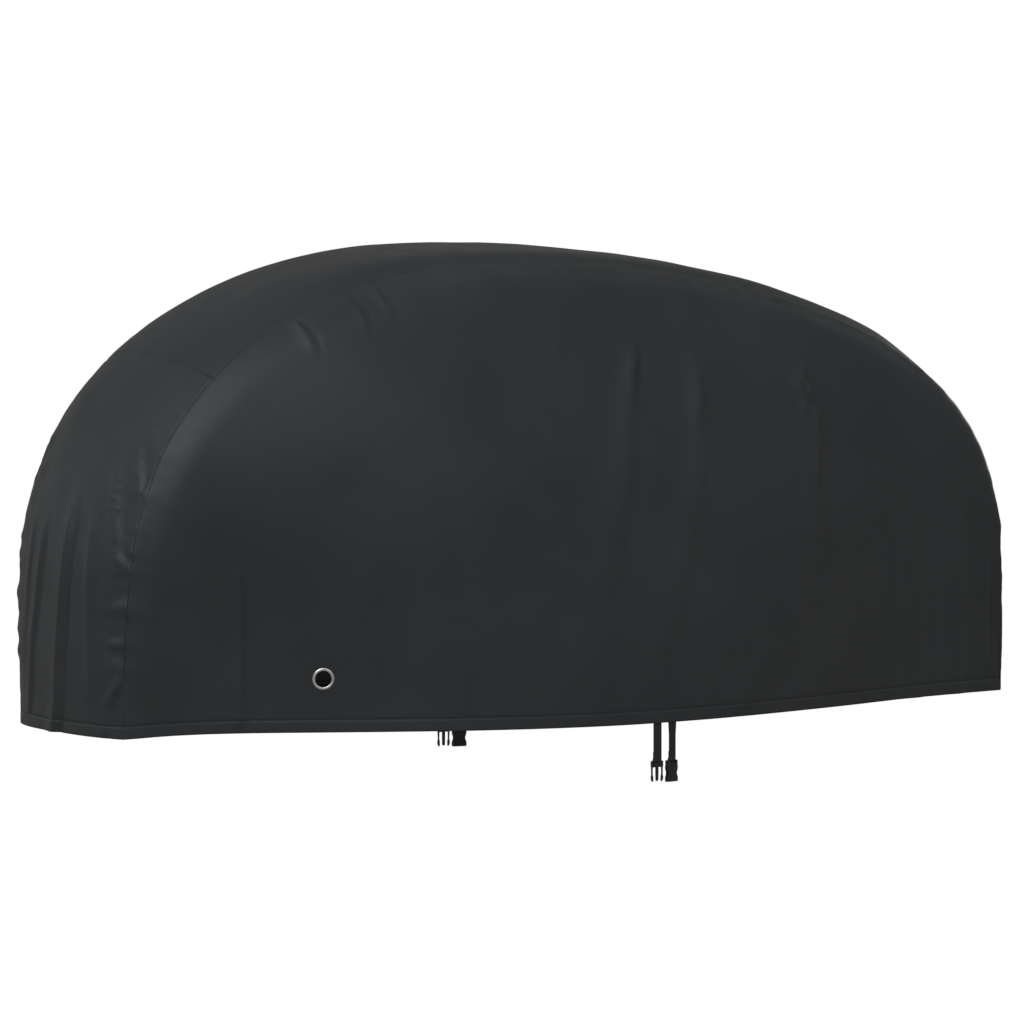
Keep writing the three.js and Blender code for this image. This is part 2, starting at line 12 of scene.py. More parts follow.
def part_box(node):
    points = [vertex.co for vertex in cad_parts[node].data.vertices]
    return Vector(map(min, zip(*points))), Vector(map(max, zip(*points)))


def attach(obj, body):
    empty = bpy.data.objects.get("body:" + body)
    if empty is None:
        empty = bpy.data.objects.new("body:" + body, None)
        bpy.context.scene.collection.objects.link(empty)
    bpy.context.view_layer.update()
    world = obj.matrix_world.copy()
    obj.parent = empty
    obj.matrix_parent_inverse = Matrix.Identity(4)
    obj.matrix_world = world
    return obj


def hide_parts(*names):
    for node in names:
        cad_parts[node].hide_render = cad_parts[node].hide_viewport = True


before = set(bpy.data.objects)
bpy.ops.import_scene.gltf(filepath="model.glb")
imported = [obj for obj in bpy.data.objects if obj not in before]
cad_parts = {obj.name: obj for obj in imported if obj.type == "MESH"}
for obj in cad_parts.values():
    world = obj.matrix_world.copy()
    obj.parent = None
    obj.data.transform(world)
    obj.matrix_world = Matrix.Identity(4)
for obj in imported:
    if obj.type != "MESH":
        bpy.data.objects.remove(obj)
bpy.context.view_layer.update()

scene = bpy.context.scene


# The view: the cover from its left, a little ahead of it and from just above the horizon, through a lens
# so long that its lines stay almost parallel.
view_aim = Vector((0.166, 0.0, -0.703))
picture_side = 1024  # pixels
pixels_per_metre = 384.9
view_heading = -30.5  # degrees round from straight in front of the left side, towards the front
view_height = 5.28
lens = 1500.0  # millimetres
sensor = 36.0


def point_at(thing, aim, heading, height, distance):
    """Puts a camera or a lamp at a distance from what it is aimed at; heading and height are in degrees."""
    heading, height = math.radians(heading), math.radians(height)
    way = Vector((
        math.sin(heading) * math.cos(height), -math.cos(heading) * math.cos(height), math.sin(height)))
    thing.location = aim + way * distance
    thing.rotation_mode = "QUATERNION"
    thing.rotation_quaternion = (-way).to_track_quat("-Z", "Y")
    scene.collection.objects.link(thing)


camera_data = bpy.data.cameras.new("camera")
camera_data.lens = lens
camera_data.sensor_width = sensor
camera = bpy.data.objects.new("camera", camera_data)
point_at(camera, view_aim, view_heading, view_height, lens / sensor * picture_side / pixels_per_metre)
scene.camera = camera


def linear(colour):
    """A colour given as an sRGB hex value, as linear red, green, blue and alpha."""
    channels = [int(colour[i:i + 2], 16) / 255 for i in (1, 3, 5)]
    return [c / 12.92 if c <= 0.04045 else ((c + 0.055) / 1.055) ** 2.4 for c in channels] + [1.0]


def add_node(tree, kind, output, given=()):
    """A new node, returned as the output asked for. What is given for each of its inputs is a value or the
    socket that feeds it; any other name is a property of the node."""
    node = tree.nodes.new("ShaderNode" + kind)
    for name, value in dict(given).items():
        if isinstance(value, bpy.types.NodeSocket):
            tree.links.new(value, node.inputs[name])
        elif isinstance(name, int) or name in node.inputs:
            node.inputs[name].default_value = value
        else:
            setattr(node, name, value)
    return node.outputs[output]


def new_material(name):
    """A material, its node tree and the shader of its surface."""
    material = bpy.data.materials.new(name)
    material.use_nodes = True
    return material, material.node_tree, material.node_tree.nodes["Principled BSDF"]


# The studio: a white room of even light, a large soft lamp high in front of the cover's left with weaker
# ones round it, and a plain white floor just under the hanging buckles.
soft_lamps = [
    # heading and height in degrees, width in metres, power in watts, and whether it shows in a sheen
    ("low_front_lamp", -142, 6, 3.6, 15.0, True),
    ("front_lamp", -108, 32, 3.6, 36.0, True),
    ("middle_lamp", -51, 31, 2.6, 174.0, True),
    ("high_lamp", -40, 56, 2.0, 34.0, True),
    ("key_lamp", 3, 20, 2.8, 31.0, True),
    ("fill_lamp", 78, 12, 3.6, 60.0, False),
    ("rear_lamp", 111, 8, 2.8, 38.0, True),
]
lamp_colour = (0.95, 0.98, 1.0)
lamp_aim = Vector((0.1, 0.0, -0.6))
lamp_distance = 6.0
floor_gap = 0.03
floor_side = 400.0

scene.view_settings.view_transform = "Standard"
world = bpy.data.worlds.new("white room")
world.use_nodes = True
room = world.node_tree
white_walls = room.nodes["Background"]
white_walls.inputs["Color"].default_value = (1, 1, 1, 1)
room_light = add_node(room, "Background", "Background", {"Color": (1, 1, 1, 1), "Strength": 0.30})
seen = add_node(room, "LightPath", "Is Camera Ray")
both = add_node(room, "MixShader", "Shader", {0: seen, 1: room_light, 2: white_walls.outputs[0]})
room.links.new(both, room.nodes["World Output"].inputs["Surface"])
scene.world = world

for name, heading, height, width, power, in_sheen in soft_lamps:
    lamp_data = bpy.data.lights.new(name, "AREA")
    lamp_data.shape = "DISK"
    lamp_data.size = width
    lamp_data.energy = power
    lamp_data.color = lamp_colour
    lamp = bpy.data.objects.new(name, lamp_data)
    lamp.visible_glossy = in_sheen
    point_at(lamp, lamp_aim, heading, height, lamp_distance)

floor_paint, _, floor_shader = new_material("white floor")
floor_shader.inputs["Base Color"].default_value = linear("#202020")
floor_shader.inputs["Roughness"].default_value = 0.9
floor_shader.inputs["Specular IOR Level"].default_value = 0.0
floor_shader.inputs["Emission Color"].default_value = (1, 1, 1, 1)
floor_shader.inputs["Emission Strength"].default_value = 1.0
floor_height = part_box("buckle_socket_left")[0][2] - floor_gap
floor_corners = [(x * floor_side / 2, y * floor_side / 2, floor_height)
                 for x, y in ((-1, -1), (1, -1), (1, 1), (-1, 1))]
floor_mesh = bpy.data.meshes.new("floor")
floor_mesh.from_pydata(floor_corners, [], [(0, 1, 2, 3)])
floor_mesh.materials.append(floor_paint)
studio_floor = bpy.data.objects.new("studio_floor", floor_mesh)
scene.collection.objects.link(studio_floor)
studio_floor.visible_diffuse = False
studio_floor.visible_glossy = False


# The cover cloth: polyester oxford with a soft polyurethane coating, woven and then coated. It is a deep
# charcoal with a low, broad sheen, a faint weave and a slight unevenness in the coating.
thread_pitch = 0.0016  # the real threads lie 0.4 mm apart, and are drawn coarser so that they show


def coated_cloth():
    material, tree, shader = new_material("coated polyester oxford")
    place = add_node(tree, "TexCoord", "Object")
    cut = add_node(tree, "UVMap", "UV", {"uv_map": "cut"})
    clouds = add_node(tree, "TexNoise", "Fac", {"Scale": 3.5, "Detail": 3.0, "Vector": place})
    shade = add_node(tree, "MapRange", "Result", {"From Min": 0.3, "From Max": 0.7, "Value": clouds})
    tone = add_node(
        tree, "Mix", 2, {"data_type": "RGBA", 6: linear("#2d2e2f"), 7: linear("#323334"), 0: shade})
    tree.links.new(tone, shader.inputs["Base Color"])
    coating = add_node(tree, "TexNoise", "Fac", {"Scale": 11.0, "Detail": 4.0, "Vector": place})
    roughness = add_node(
        tree, "MapRange", "Result",
        {"From Min": 0.3, "From Max": 0.7, "To Min": 0.45, "To Max": 0.53, "Value": coating})
    tree.links.new(roughness, shader.inputs["Roughness"])
    turns = add_node(
        tree, "VectorMath", "Vector", {"operation": "SCALE", "Scale": math.pi / thread_pitch, 0: cut})
    along = add_node(tree, "SeparateXYZ", "X", {0: turns})
    warp = add_node(tree, "Math", "Value", {"operation": "SINE", 0: along})
    weft = add_node(tree, "Math", "Value", {"operation": "SINE", 0: along.node.outputs["Y"]})
    weave = add_node(tree, "Math", "Value", {"operation": "MULTIPLY", 0: warp, 1: weft})
    fine = add_node(tree, "Bump", "Normal", {"Strength": 0.25, "Distance": 0.00012, "Height": weave})
    crinkle = add_node(tree, "TexNoise", "Fac", {"Scale": 45.0, "Detail": 2.0, "Vector": place})
    bump = add_node(
        tree, "Bump", "Normal", {"Strength": 0.3, "Distance": 0.0012, "Height": crinkle, "Normal": fine})
    tree.links.new(bump, shader.inputs["Normal"])
    shader.inputs["Specular IOR Level"].default_value = 0.18
    return material


cover_cloth = coated_cloth()
cloth_thickness = 0.0011


# The strip over the middle of the cover. Its edges are the seams, which the rows below give from the
# front hem over the top to the rear hem; x and z count from the front hem, as they did when it was cut.
held_at = np.array([1.160, 0.0, 1.210])  # from the front hem to where the cover is held up

# place, height, half the strip's width, and how far its middle stands proud of the seams, in millimetres
seam_rows = np.array([
    (0, 0, 270, 40), (5, 300, 280, 50), (35, 540, 286, 58), (135, 775, 283, 60),
    (260, 920, 276, 56), (400, 1027, 265, 45), (600, 1120, 255, 33), (860, 1185, 243, 20),
    (1160, 1198, 234, 13), (1460, 1177, 234, 13), (1780, 1126, 240, 14), (2100, 1036, 250, 15),
    (2355, 910, 258, 18), (2530, 745, 263, 22), (2635, 515, 267, 25), (2650, 295, 269, 26),
    (2650, 0, 270, 25),
]) / 1000
crown_power = 2.6
seam_steps = np.hypot(np.diff(seam_rows[:, 0]), np.diff(seam_rows[:, 1]))
seam_girths = np.concatenate([[0], np.cumsum(seam_steps)])
full_girth = seam_girths[-1]
cross_seam_girth = 1.000


def curve(keys, values, at):
    """A smooth curve through values at keys, with the slopes that its neighbours give at each."""
    steps = np.diff(keys)
    slopes = np.diff(values) / steps
    tangents = np.empty(len(keys))
    tangents[0], tangents[-1] = slopes[0], slopes[-1]
    tangents[1:-1] = (slopes[:-1] * steps[1:] + slopes[1:] * steps[:-1]) / (steps[1:] + steps[:-1])
    i = np.clip(np.searchsorted(keys, at) - 1, 0, len(keys) - 2)
    u = np.clip((at - keys[i]) / steps[i], 0, 1)
    rest = 1 - u
    return (
        rest ** 2 * (1 + 2 * u) * values[i]
        + u ** 2 * (3 - 2 * u) * values[i + 1]
        + u * rest * steps[i] * (rest * tangents[i] - u * tangents[i + 1])
    )


def seam_at(girth, column):
    return curve(seam_girths, seam_rows[:, column], girth)


def smooth(value, start, end):
    u = np.clip((value - start) / (end - start), 0, 1)
    return u * u * (3 - 2 * u)


def unit(vectors):
    return vectors / np.maximum(np.linalg.norm(vectors, axis=-1, keepdims=True), 1e-9)


def crease_lift(creases, a, b):
    """Lift of the folds, creases and puckers in a panel over places a, b on it. Each is a ridge along a path
    of points from its head to its foot: how far it lifts, half its width at the head, how many times wider it
    is at the foot, how much narrower its flank away from the front is, the depth of the trough beyond that
    flank, how far it is crumpled into small uneven peaks, and how much of its lift is left at the foot."""
    total = np.zeros(a.shape)
    for number, (path, lift, width, spread, steep, trough, crumple, left) in enumerate(creases):
        margin = 4 * width * max(spread, 1)
        low, high = path.min(0) - margin, path.max(0) + margin
        near = (a > low[0]) & (a < high[0]) & (b > low[1]) & (b < high[1])
        pa, pb = a[near], b[near]
        nearest = np.full(pa.shape, np.inf)
        run = np.zeros(pa.shape)
        side = np.zeros(pa.shape)
        lengths = np.hypot(*np.diff(path, axis=0).T)
        gone = 0.0
        for start, end, length in zip(path, path[1:], lengths):
            way = (end - start) / length
            ahead = (pa - start[0]) * way[0] + (pb - start[1]) * way[1]
            held = np.clip(ahead, 0, length)
            off = np.hypot(pa - start[0] - way[0] * held, pb - start[1] - way[1] * held)
            closer = off < nearest
            beside = way[0] * (pb - start[1]) - way[1] * (pa - start[0])
            run = np.where(closer, gone + held, run)
            side = np.where(closer, np.sign(beside), side)
            nearest = np.where(closer, off, nearest)
            gone += length
        share = run / gone
        wide = width * (1 + (spread - 1) * share)
        sway = crumple * 0.4 * width * np.sin(run / 0.011 + 2.4 * number)
        beside = side * nearest - sway
        flank = np.where(beside > 0, wide * steep, wide)
        peaks = 1 - crumple * (0.5 + 0.5 * np.sin(run / 0.0075 + 3 * np.sin(run / 0.02) + 1.7 * number))
        ridge = np.exp(-(beside / flank) ** 2) * peaks
        hollow = np.exp(-((beside - 1.8 * wide * steep) / (wide * steep)) ** 2)
        kept = smooth(share, 0, 0.2) * (1 - (1 - left) * smooth(share, 0.35, 1))
        total[near] += lift * kept * (ridge - trough * hollow)
    return total


def in_metres(creases):
    """Folds whose paths, lifts and half-widths are given in millimetres, in metres."""
    return [
        (np.array(path) / 1000, lift / 1000, width / 1000, *shape) for path, lift, width, *shape in creases]


def unevenness(a, b, seed, longest, shortest, waves=24):
    """Gentle swells, the same on every run; the longest are of about unit height, the short ones lower."""
    random = np.random.default_rng(seed)
    total = np.zeros(a.shape)
    for length in np.geomspace(longest, shortest, waves):
        heading, phase = random.uniform(0, 2 * math.pi, 2)
        swell = np.cos(2 * math.pi * (a * math.cos(heading) + b * math.sin(heading)) / length + phase)
        total += swell * (length / longest) ** 1.3
    return total * 2 / math.sqrt(waves)


# Hems are turned up inside and stitched along their top. The side seams are drawn tight at the front, where
# they show as lines with stitching beside them, and rest on rounded cloth over the top.
hem_height = 0.033
hem_proud = 0.0010
stitch_dip = 0.0016
stitch_dip_reach = 0.0026
seam_dip = 0.0030
seam_dip_reach = 0.0030
seam_round_reach = 0.045
pucker_lift = 0.0007
pucker_reach = 0.022
strip_swell = 0.0009
side_swell = 0.0008
allowance_lift = 0.0006  # of the strip over the allowances of a seam that is drawn tight
seam_character = np.array([
    # girth, how tight the seam is drawn, and how far it is sunk to round the cloth over it
    (0.00, 0.20, 0.009), (0.22, 0.20, 0.008), (0.36, 0.50, 0.002), (0.48, 1.00, 0.000),
    (1.00, 1.00, 0.000), (1.16, 0.70, 0.002), (1.32, 0.02, 0.016), (1.60, 0.02, 0.021),
    (3.10, 0.02, 0.021), (3.55, 0.60, 0.003), (4.10, 0.60, 0.002),
])
seam_bumps = np.array([
    # girth, half-width and height of the places where cloth gathered in the seam stands out, in millimetres
    (185, 16, 3), (245, 14, 4), (340, 20, 6.5), (440, 16, 4.5), (485, 13, 2.5),
    (640, 16, 2), (745, 14, 2.5), (3760, 30, 4.5), (3900, 18, 3),
]) / 1000


def hem_lift(height):
    """The turned-up hem stands proud below its stitch line, which draws the cloth in."""
    band = hem_proud * (1 - smooth(height, hem_height - 0.004, hem_height - 0.001))
    return band - stitch_dip * np.exp(-((height - hem_height) / stitch_dip_reach) ** 2)


def seam_lift(girth, off, seed, tight=1.0):
    """The cloth dips into a seam and puckers unevenly beside it; off is the distance from the seam."""
    dip = -seam_dip * tight * np.exp(-(off / seam_dip_reach) ** 1.4)
    puckers = unevenness(girth, np.zeros_like(girth), seed, 0.085, 0.022, 12)
    return dip + pucker_lift * puckers * np.exp(-off / pucker_reach)


def side_seam_lift(girth, off):
    tight = np.interp(girth, seam_character[:, 0], seam_character[:, 1])
    sunk = np.interp(girth, seam_character[:, 0], seam_character[:, 2])
    gathered = sum(height * np.exp(-((girth - at) / width) ** 2) for at, width, height in seam_bumps)
    even = smooth(girth, 1.16, 1.40) * (1 - smooth(girth, 3.10, 3.50))
    rounding = np.exp(-(np.maximum(off, 0) / seam_round_reach) ** (1 + even))
    return seam_lift(girth, off, 5, tight) + (gathered - sunk) * rounding


def strip_base(girth, across):
    """Points of the strip without its folds; across runs from -1 at the left seam to 1 at the right."""
    before, after = np.maximum(girth - 0.001, 0), np.minimum(girth + 0.001, full_girth)
    run_x = seam_at(after, 0) - seam_at(before, 0)
    run_z = seam_at(after, 1) - seam_at(before, 1)
    length = np.hypot(run_x, run_z)
    proud = seam_at(girth, 3) * (1 - np.abs(across) ** crown_power)
    x = seam_at(girth, 0) - run_z / length * proud
    z = seam_at(girth, 1) + run_x / length * proud
    return np.stack([x, across * seam_at(girth, 2), z], -1)


def strip_normal(girth, across):
    g = np.clip(girth, 0.002, full_girth - 0.002)
    a = np.clip(across, -0.99, 0.99)
    along = strip_base(g + 0.002, a) - strip_base(g - 0.002, a)
    over = strip_base(g, a + 0.01) - strip_base(g, a - 0.01)
    return unit(np.cross(along, over))


# The hem of a side panel, seen from above: place, half the cover's width and how far the edge is off level,
# in millimetres.
hem_rows = np.array([
    (0, 270, 0), (130, 255, 2), (240, 262, 2), (350, 286, 1), (520, 350, 0),
    (720, 430, -1), (920, 500, -2), (1100, 537, -3), (1300, 553, -4), (1500, 548, -3),
    (1700, 522, -2), (1900, 476, -1), (2100, 414, -1), (2300, 350, 0), (2480, 303, 0),
    (2650, 270, 0),
]) / 1000
shoulder_power = 2.0
shoulder_root = 1.4
corner_round = 0.009
corner_round_reach = 0.030
fullness_steps = np.array([
    # distance from the front seam and how steeply the side panel swells out there
    (0.000, 0.96), (0.048, 0.80), (0.080, 0.42), (0.140, 0.33), (0.210, 0.20), (0.310, 0.00),
])
fullness_at = np.linspace(0, 0.310, 200)
fullness_slope = np.interp(fullness_at, fullness_steps[:, 0], fullness_steps[:, 1])
fullness = np.cumsum(fullness_slope) * (fullness_at[1] - fullness_at[0])
fullness -= fullness[0]
cover_length = hem_rows[-1, 0]

seam_line = np.linspace(0, full_girth, 2101)
seam_x, seam_z = seam_at(seam_line, 0), seam_at(seam_line, 1)
seam_half = seam_at(seam_line, 2)
top_index = int(np.argmax(seam_z))


def side_half(x, z):
    """Half the cover's width at a place on a side panel."""
    top = np.maximum(np.interp(x, seam_x, seam_z), 0.001)
    narrow = np.interp(x, seam_x, seam_half)
    up = np.clip(z / top, 0, 1)
    turn = (1 - up ** shoulder_power) ** (1 / shoulder_root)
    wide = narrow + (curve(hem_rows[:, 0], hem_rows[:, 1], x) - narrow) * turn
    below = np.maximum(top - z, 1e-6)
    behind = np.maximum(x - np.interp(z, seam_z[:top_index], seam_x[:top_index]), 1e-6)
    off = 1 / np.sqrt(1 / below ** 2 + 1 / behind ** 2)
    swell = np.interp(off, fullness_at, fullness)
    swell *= smooth(z, 0.02, 0.80) * (1 - smooth(x, 0.60, 1.40))
    corner = corner_round * (1 - np.exp(-off / corner_round_reach)) * (1 - smooth(off, 0.08, 0.40))
    return wide + swell + corner


def side_normal(x, z):
    """Outward direction of the left panel, taken a little inside the outline, where it turns sharply."""
    to_heart = np.stack([cover_length / 2 - x, 0.3 - z], -1)
    inset = unit(to_heart) * 0.016
    xi, zi = x + inset[..., 0], z + inset[..., 1]
    along_x = side_half(xi + 0.008, zi) - side_half(xi - 0.008, zi)
    along_z = side_half(xi, zi + 0.008) - side_half(xi, zi - 0.008)
    return unit(np.stack([-along_x, np.full_like(along_x, -0.016), -along_z], -1))


def seam_mitre(girth):
    """Between the strip and the left panel at their seam: straight out, and square to it to the strip."""
    edge = strip_base(girth, -1.0 + 0 * girth)
    strip = strip_normal(girth, -1.0 + 0 * girth)
    side = side_normal(edge[..., 0], edge[..., 2])
    out = unit(strip + side)
    before = strip_base(np.maximum(girth - 0.004, 0), -1.0 + 0 * girth)
    after = strip_base(np.minimum(girth + 0.004, full_girth), -1.0 + 0 * girth)
    return out, unit(np.cross(out, after - before))


# the path from head to foot as girth from the front hem and place across from the middle, left negative, the
# lift and half-width, all in millimetres, and the shape: spread, steepness, trough, crumpling, left at foot
strip_creases = in_metres([
    # the long folds that hang in the front
    ([(640, -46), (519, -54), (393, -43), (239, -31), (84, -14), (-20, 12)], 13, 30, 1.2, 0.35, 0.25, 0, 1),
    ([(570, 78), (465, 80), (340, 96), (215, 125), (60, 150)], 7.5, 20, 1.3, 0.45, 0.3, 0, 0.7),
    ([(560, 150), (440, 150), (320, 165), (180, 190)], 5, 15, 1.3, 0.5, 0.3, 0, 0.5),
    ([(620, -132), (540, -150), (470, -152), (340, -160), (120, -164)], 6.5, 20, 1.2, 0.45, 0.3, 0, 0.5),
    ([(470, -180), (340, -186), (220, -190), (40, -196)], 3.6, 5.5, 1.1, 0.9, 0.3, 0, 0.7),
    ([(450, -222), (360, -229), (260, -231)], 3, 5, 1.2, 0.9, 0.4, 0, 0.3),
    # cloth gathered beside the left seam
    ([(720, -166), (664, -186), (585, -211), (500, -234), (430, -246)], 12.5, 16, 1.2, 0.7, 0.35, 0.3, 0.4),
    ([(775, -200), (734, -219), (683, -246), (645, -262)], 11, 13, 1.2, 0.8, 0.4, 0.3, 0.5),
    ([(820, -222), (796, -236), (766, -260)], 5, 11, 1.3, 0.8, 0.5, 0.2, 0.5),
    ([(870, -240), (850, -256), (832, -266)], 3, 9, 1.3, 0.9, 0.4, 0.2, 0.5),
    ([(474, -234), (464, -252), (448, -274)], 4.2, 13, 1, 0.9, 0.7, 0, 0.8),
    ([(344, -236), (338, -252), (346, -276)], 3.6, 14, 1.1, 1, 0.7, 0, 0.9),
    ([(258, -226), (244, -246), (250, -276)], 3.6, 11, 1, 1, 1, 0, 0.8),
    ([(192, -236), (196, -254), (176, -274)], 2.6, 12, 1, 1, 0.6, 0, 0.8),
    ([(180, -276), (150, -266), (116, -244), (86, -226), (20, -218)], 7.5, 13, 1, 0.7, 0.6, 0, 0.5),
    # and beside the right one
    ([(700, 180), (620, 206), (500, 232)], 7, 11, 1.3, 0.9, 0.35, 0.25, 0.4),
    ([(770, 210), (720, 238), (660, 260)], 6, 10, 1.2, 0.9, 0.4, 0.3, 0.5),
    ([(400, 232), (405, 256), (412, 276)], 3.5, 11, 1.1, 1, 0.6, 0, 0.8),
    ([(300, 230), (300, 254), (306, 276)], 3.2, 11, 1.1, 1, 0.6, 0, 0.8),
    ([(190, 228), (200, 250), (186, 272)], 3.2, 10, 1.1, 1, 0.6, 0, 0.8),
])
# folds that hang in the rear, with girths from the rear hem
strip_creases += [((full_girth, 0) - path * (1, -1), *shape) for path, *shape in in_metres([
    ([(640, 70), (300, 52), (-20, 38)], 10, 26, 1.3, 0.5, 0.25, 0, 0.9),
    ([(560, -100), (280, -118), (-20, -128)], 8, 24, 1.3, 0.5, 0.25, 0, 0.8),
    ([(430, 176), (200, 170), (-20, 168)], 6, 20, 1.3, 0.6, 0.25, 0, 0.8),
    ([(500, -200), (300, -206), (60, -210)], 4, 16, 1.3, 0.6, 0.25, 0, 0.6),
])]


def strip_surface(girth, across):
    """Points of the hanging strip and its outward directions, at girths from the front hem."""
    half = seam_at(girth, 2)
    side = across * half
    off = half - np.abs(side)
    lift = crease_lift(strip_creases, girth, side)
    lift += strip_swell * unevenness(girth, side, 11, 0.42, 0.09)
    lift *= smooth(off, -0.003, 0.018)
    tight = np.interp(girth, seam_character[:, 0], seam_character[:, 1])
    lift += allowance_lift * tight * smooth(off, 0.002, 0.005) * (1 - smooth(off, 0.010, 0.014))
    lift += seam_lift(side, np.abs(girth - cross_seam_girth), 6)
    lift += hem_lift(np.minimum(girth, full_girth - girth))
    lift *= smooth(off, 0, 0.002)
    normal = strip_normal(girth, across)
    out = seam_mitre(girth)[0] * np.stack([np.ones_like(side), -np.sign(side), np.ones_like(side)], -1)
    sunk = side_seam_lift(girth, off)
    return strip_base(girth, across) + normal * lift[..., None] + out * sunk[..., None], normal


# Stations along a line across a panel: close together in a hem and beside a seam, and even between.
hem_stations = np.array([0, 4, 10, 18, 25, 29, 30.5, 32, 33, 34, 35.5, 38, 43, 50]) / 1000
seam_stations = np.array([110, 90, 72, 56, 43, 33, 25, 19, 15, 12, 10, 8.2, 6.6, 5.2, 4, 3, 2, 1, 0]) / 1000
turned_in = np.array([0.0018, 0.0040, 0.0085])  # depths of the rows of a seam allowance
pressed_over = np.array([0.0001, 0.0009, 0.0034])  # and how far each is pressed over towards the side panel
# a turned-up hem, from its inner edge down and round the fold: height, and depth behind the outer face
hem_turn = np.array([(30, 2.8), (20, 2.8), (10, 2.8), (3, 2.7), (0.8, 2.2), (0.1, 1.4), (0.8, 0.5)]) / 1000
seam_gap = 0.00012
merged_gap = 0.00002  # corners closer than this are one
usual_width = 0.56  # of the strip, for the number of cells across it


def stations(length, starts, ends, between):
    """Distances along lines of the given lengths, one row for each station."""
    squeeze = np.minimum(1, length / (1.15 * (starts[-1] + ends[0])))
    first = starts[:, None] * squeeze
    last = length - ends[:, None] * squeeze
    share = (np.arange(1, between) / between)[:, None]
    middle = first[-1] + (last[0] - first[-1]) * share
    return np.concatenate([first, middle, last])


def hung_mesh(name, corners, faces, cut=None):
    """A mesh from corners placed from the front hem; cut says where each corner lay in the flat cloth."""
    mesh = bpy.data.meshes.new(name)
    mesh.from_pydata((corners.reshape(-1, 3) - held_at).tolist(), [], faces)
    if cut is not None:
        places = cut.reshape(-1, 2)[[corner for face in faces for corner in face]]
        mesh.uv_layers.new(name="cut").uv.foreach_set("vector", places.astype(np.float32).ravel())
    return mesh


def new_piece(name, mesh, material, crease_angle=None):
    """An object with rounded shading, kept sharp where it turns by more than the angle, in degrees."""
    mesh.shade_smooth()
    if crease_angle:
        mesh.set_sharp_from_angle(angle=math.radians(crease_angle))
    mesh.materials.append(material)
    piece = bpy.data.objects.new(name, mesh)
    scene.collection.objects.link(piece)
    return piece


def build_sheet(name, points, cells, cut, flip, extra=()):
    """A panel from a grid of points: cells says which are cloth, cut where each point lay when cut out.
    extra holds loose faces of the same cloth, each as its corners and where they lay."""
    rows, columns = points.shape[:2]
    index = np.arange(rows * columns).reshape(rows, columns)
    quads = np.stack([index[:-1, :-1], index[:-1, 1:], index[1:, 1:], index[1:, :-1]], -1)[cells]
    vertices, places = points.reshape(-1, 3), cut.reshape(-1, 2)
    for corners, corner_places in extra:
        loose = len(vertices) + np.arange(corners[..., 0].size).reshape(corners.shape[:-1])
        quads = np.concatenate([quads, loose.reshape(-1, 4)])
        vertices = np.concatenate([vertices, corners.reshape(-1, 3)])
        places = np.concatenate([places, corner_places.reshape(-1, 2)])
    if flip:
        quads = quads[:, ::-1]
    mesh = hung_mesh(name, vertices, quads.tolist(), places)
    work = bmesh.new()
    work.from_mesh(mesh)
    bmesh.ops.delete(work, geom=[v for v in work.verts if not v.link_faces], context="VERTS")
    bmesh.ops.remove_doubles(work, verts=work.verts, dist=merged_gap)
    bmesh.ops.dissolve_degenerate(work, edges=work.edges, dist=merged_gap / 2)
    work.to_mesh(mesh)
    work.free()
    piece = new_piece(name, mesh, cover_cloth, 50)
    thicken = piece.modifiers.new("thickness", "SOLIDIFY")
    thicken.thickness = cloth_thickness
    thicken.offset = -1
    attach(piece, "root")
    return piece


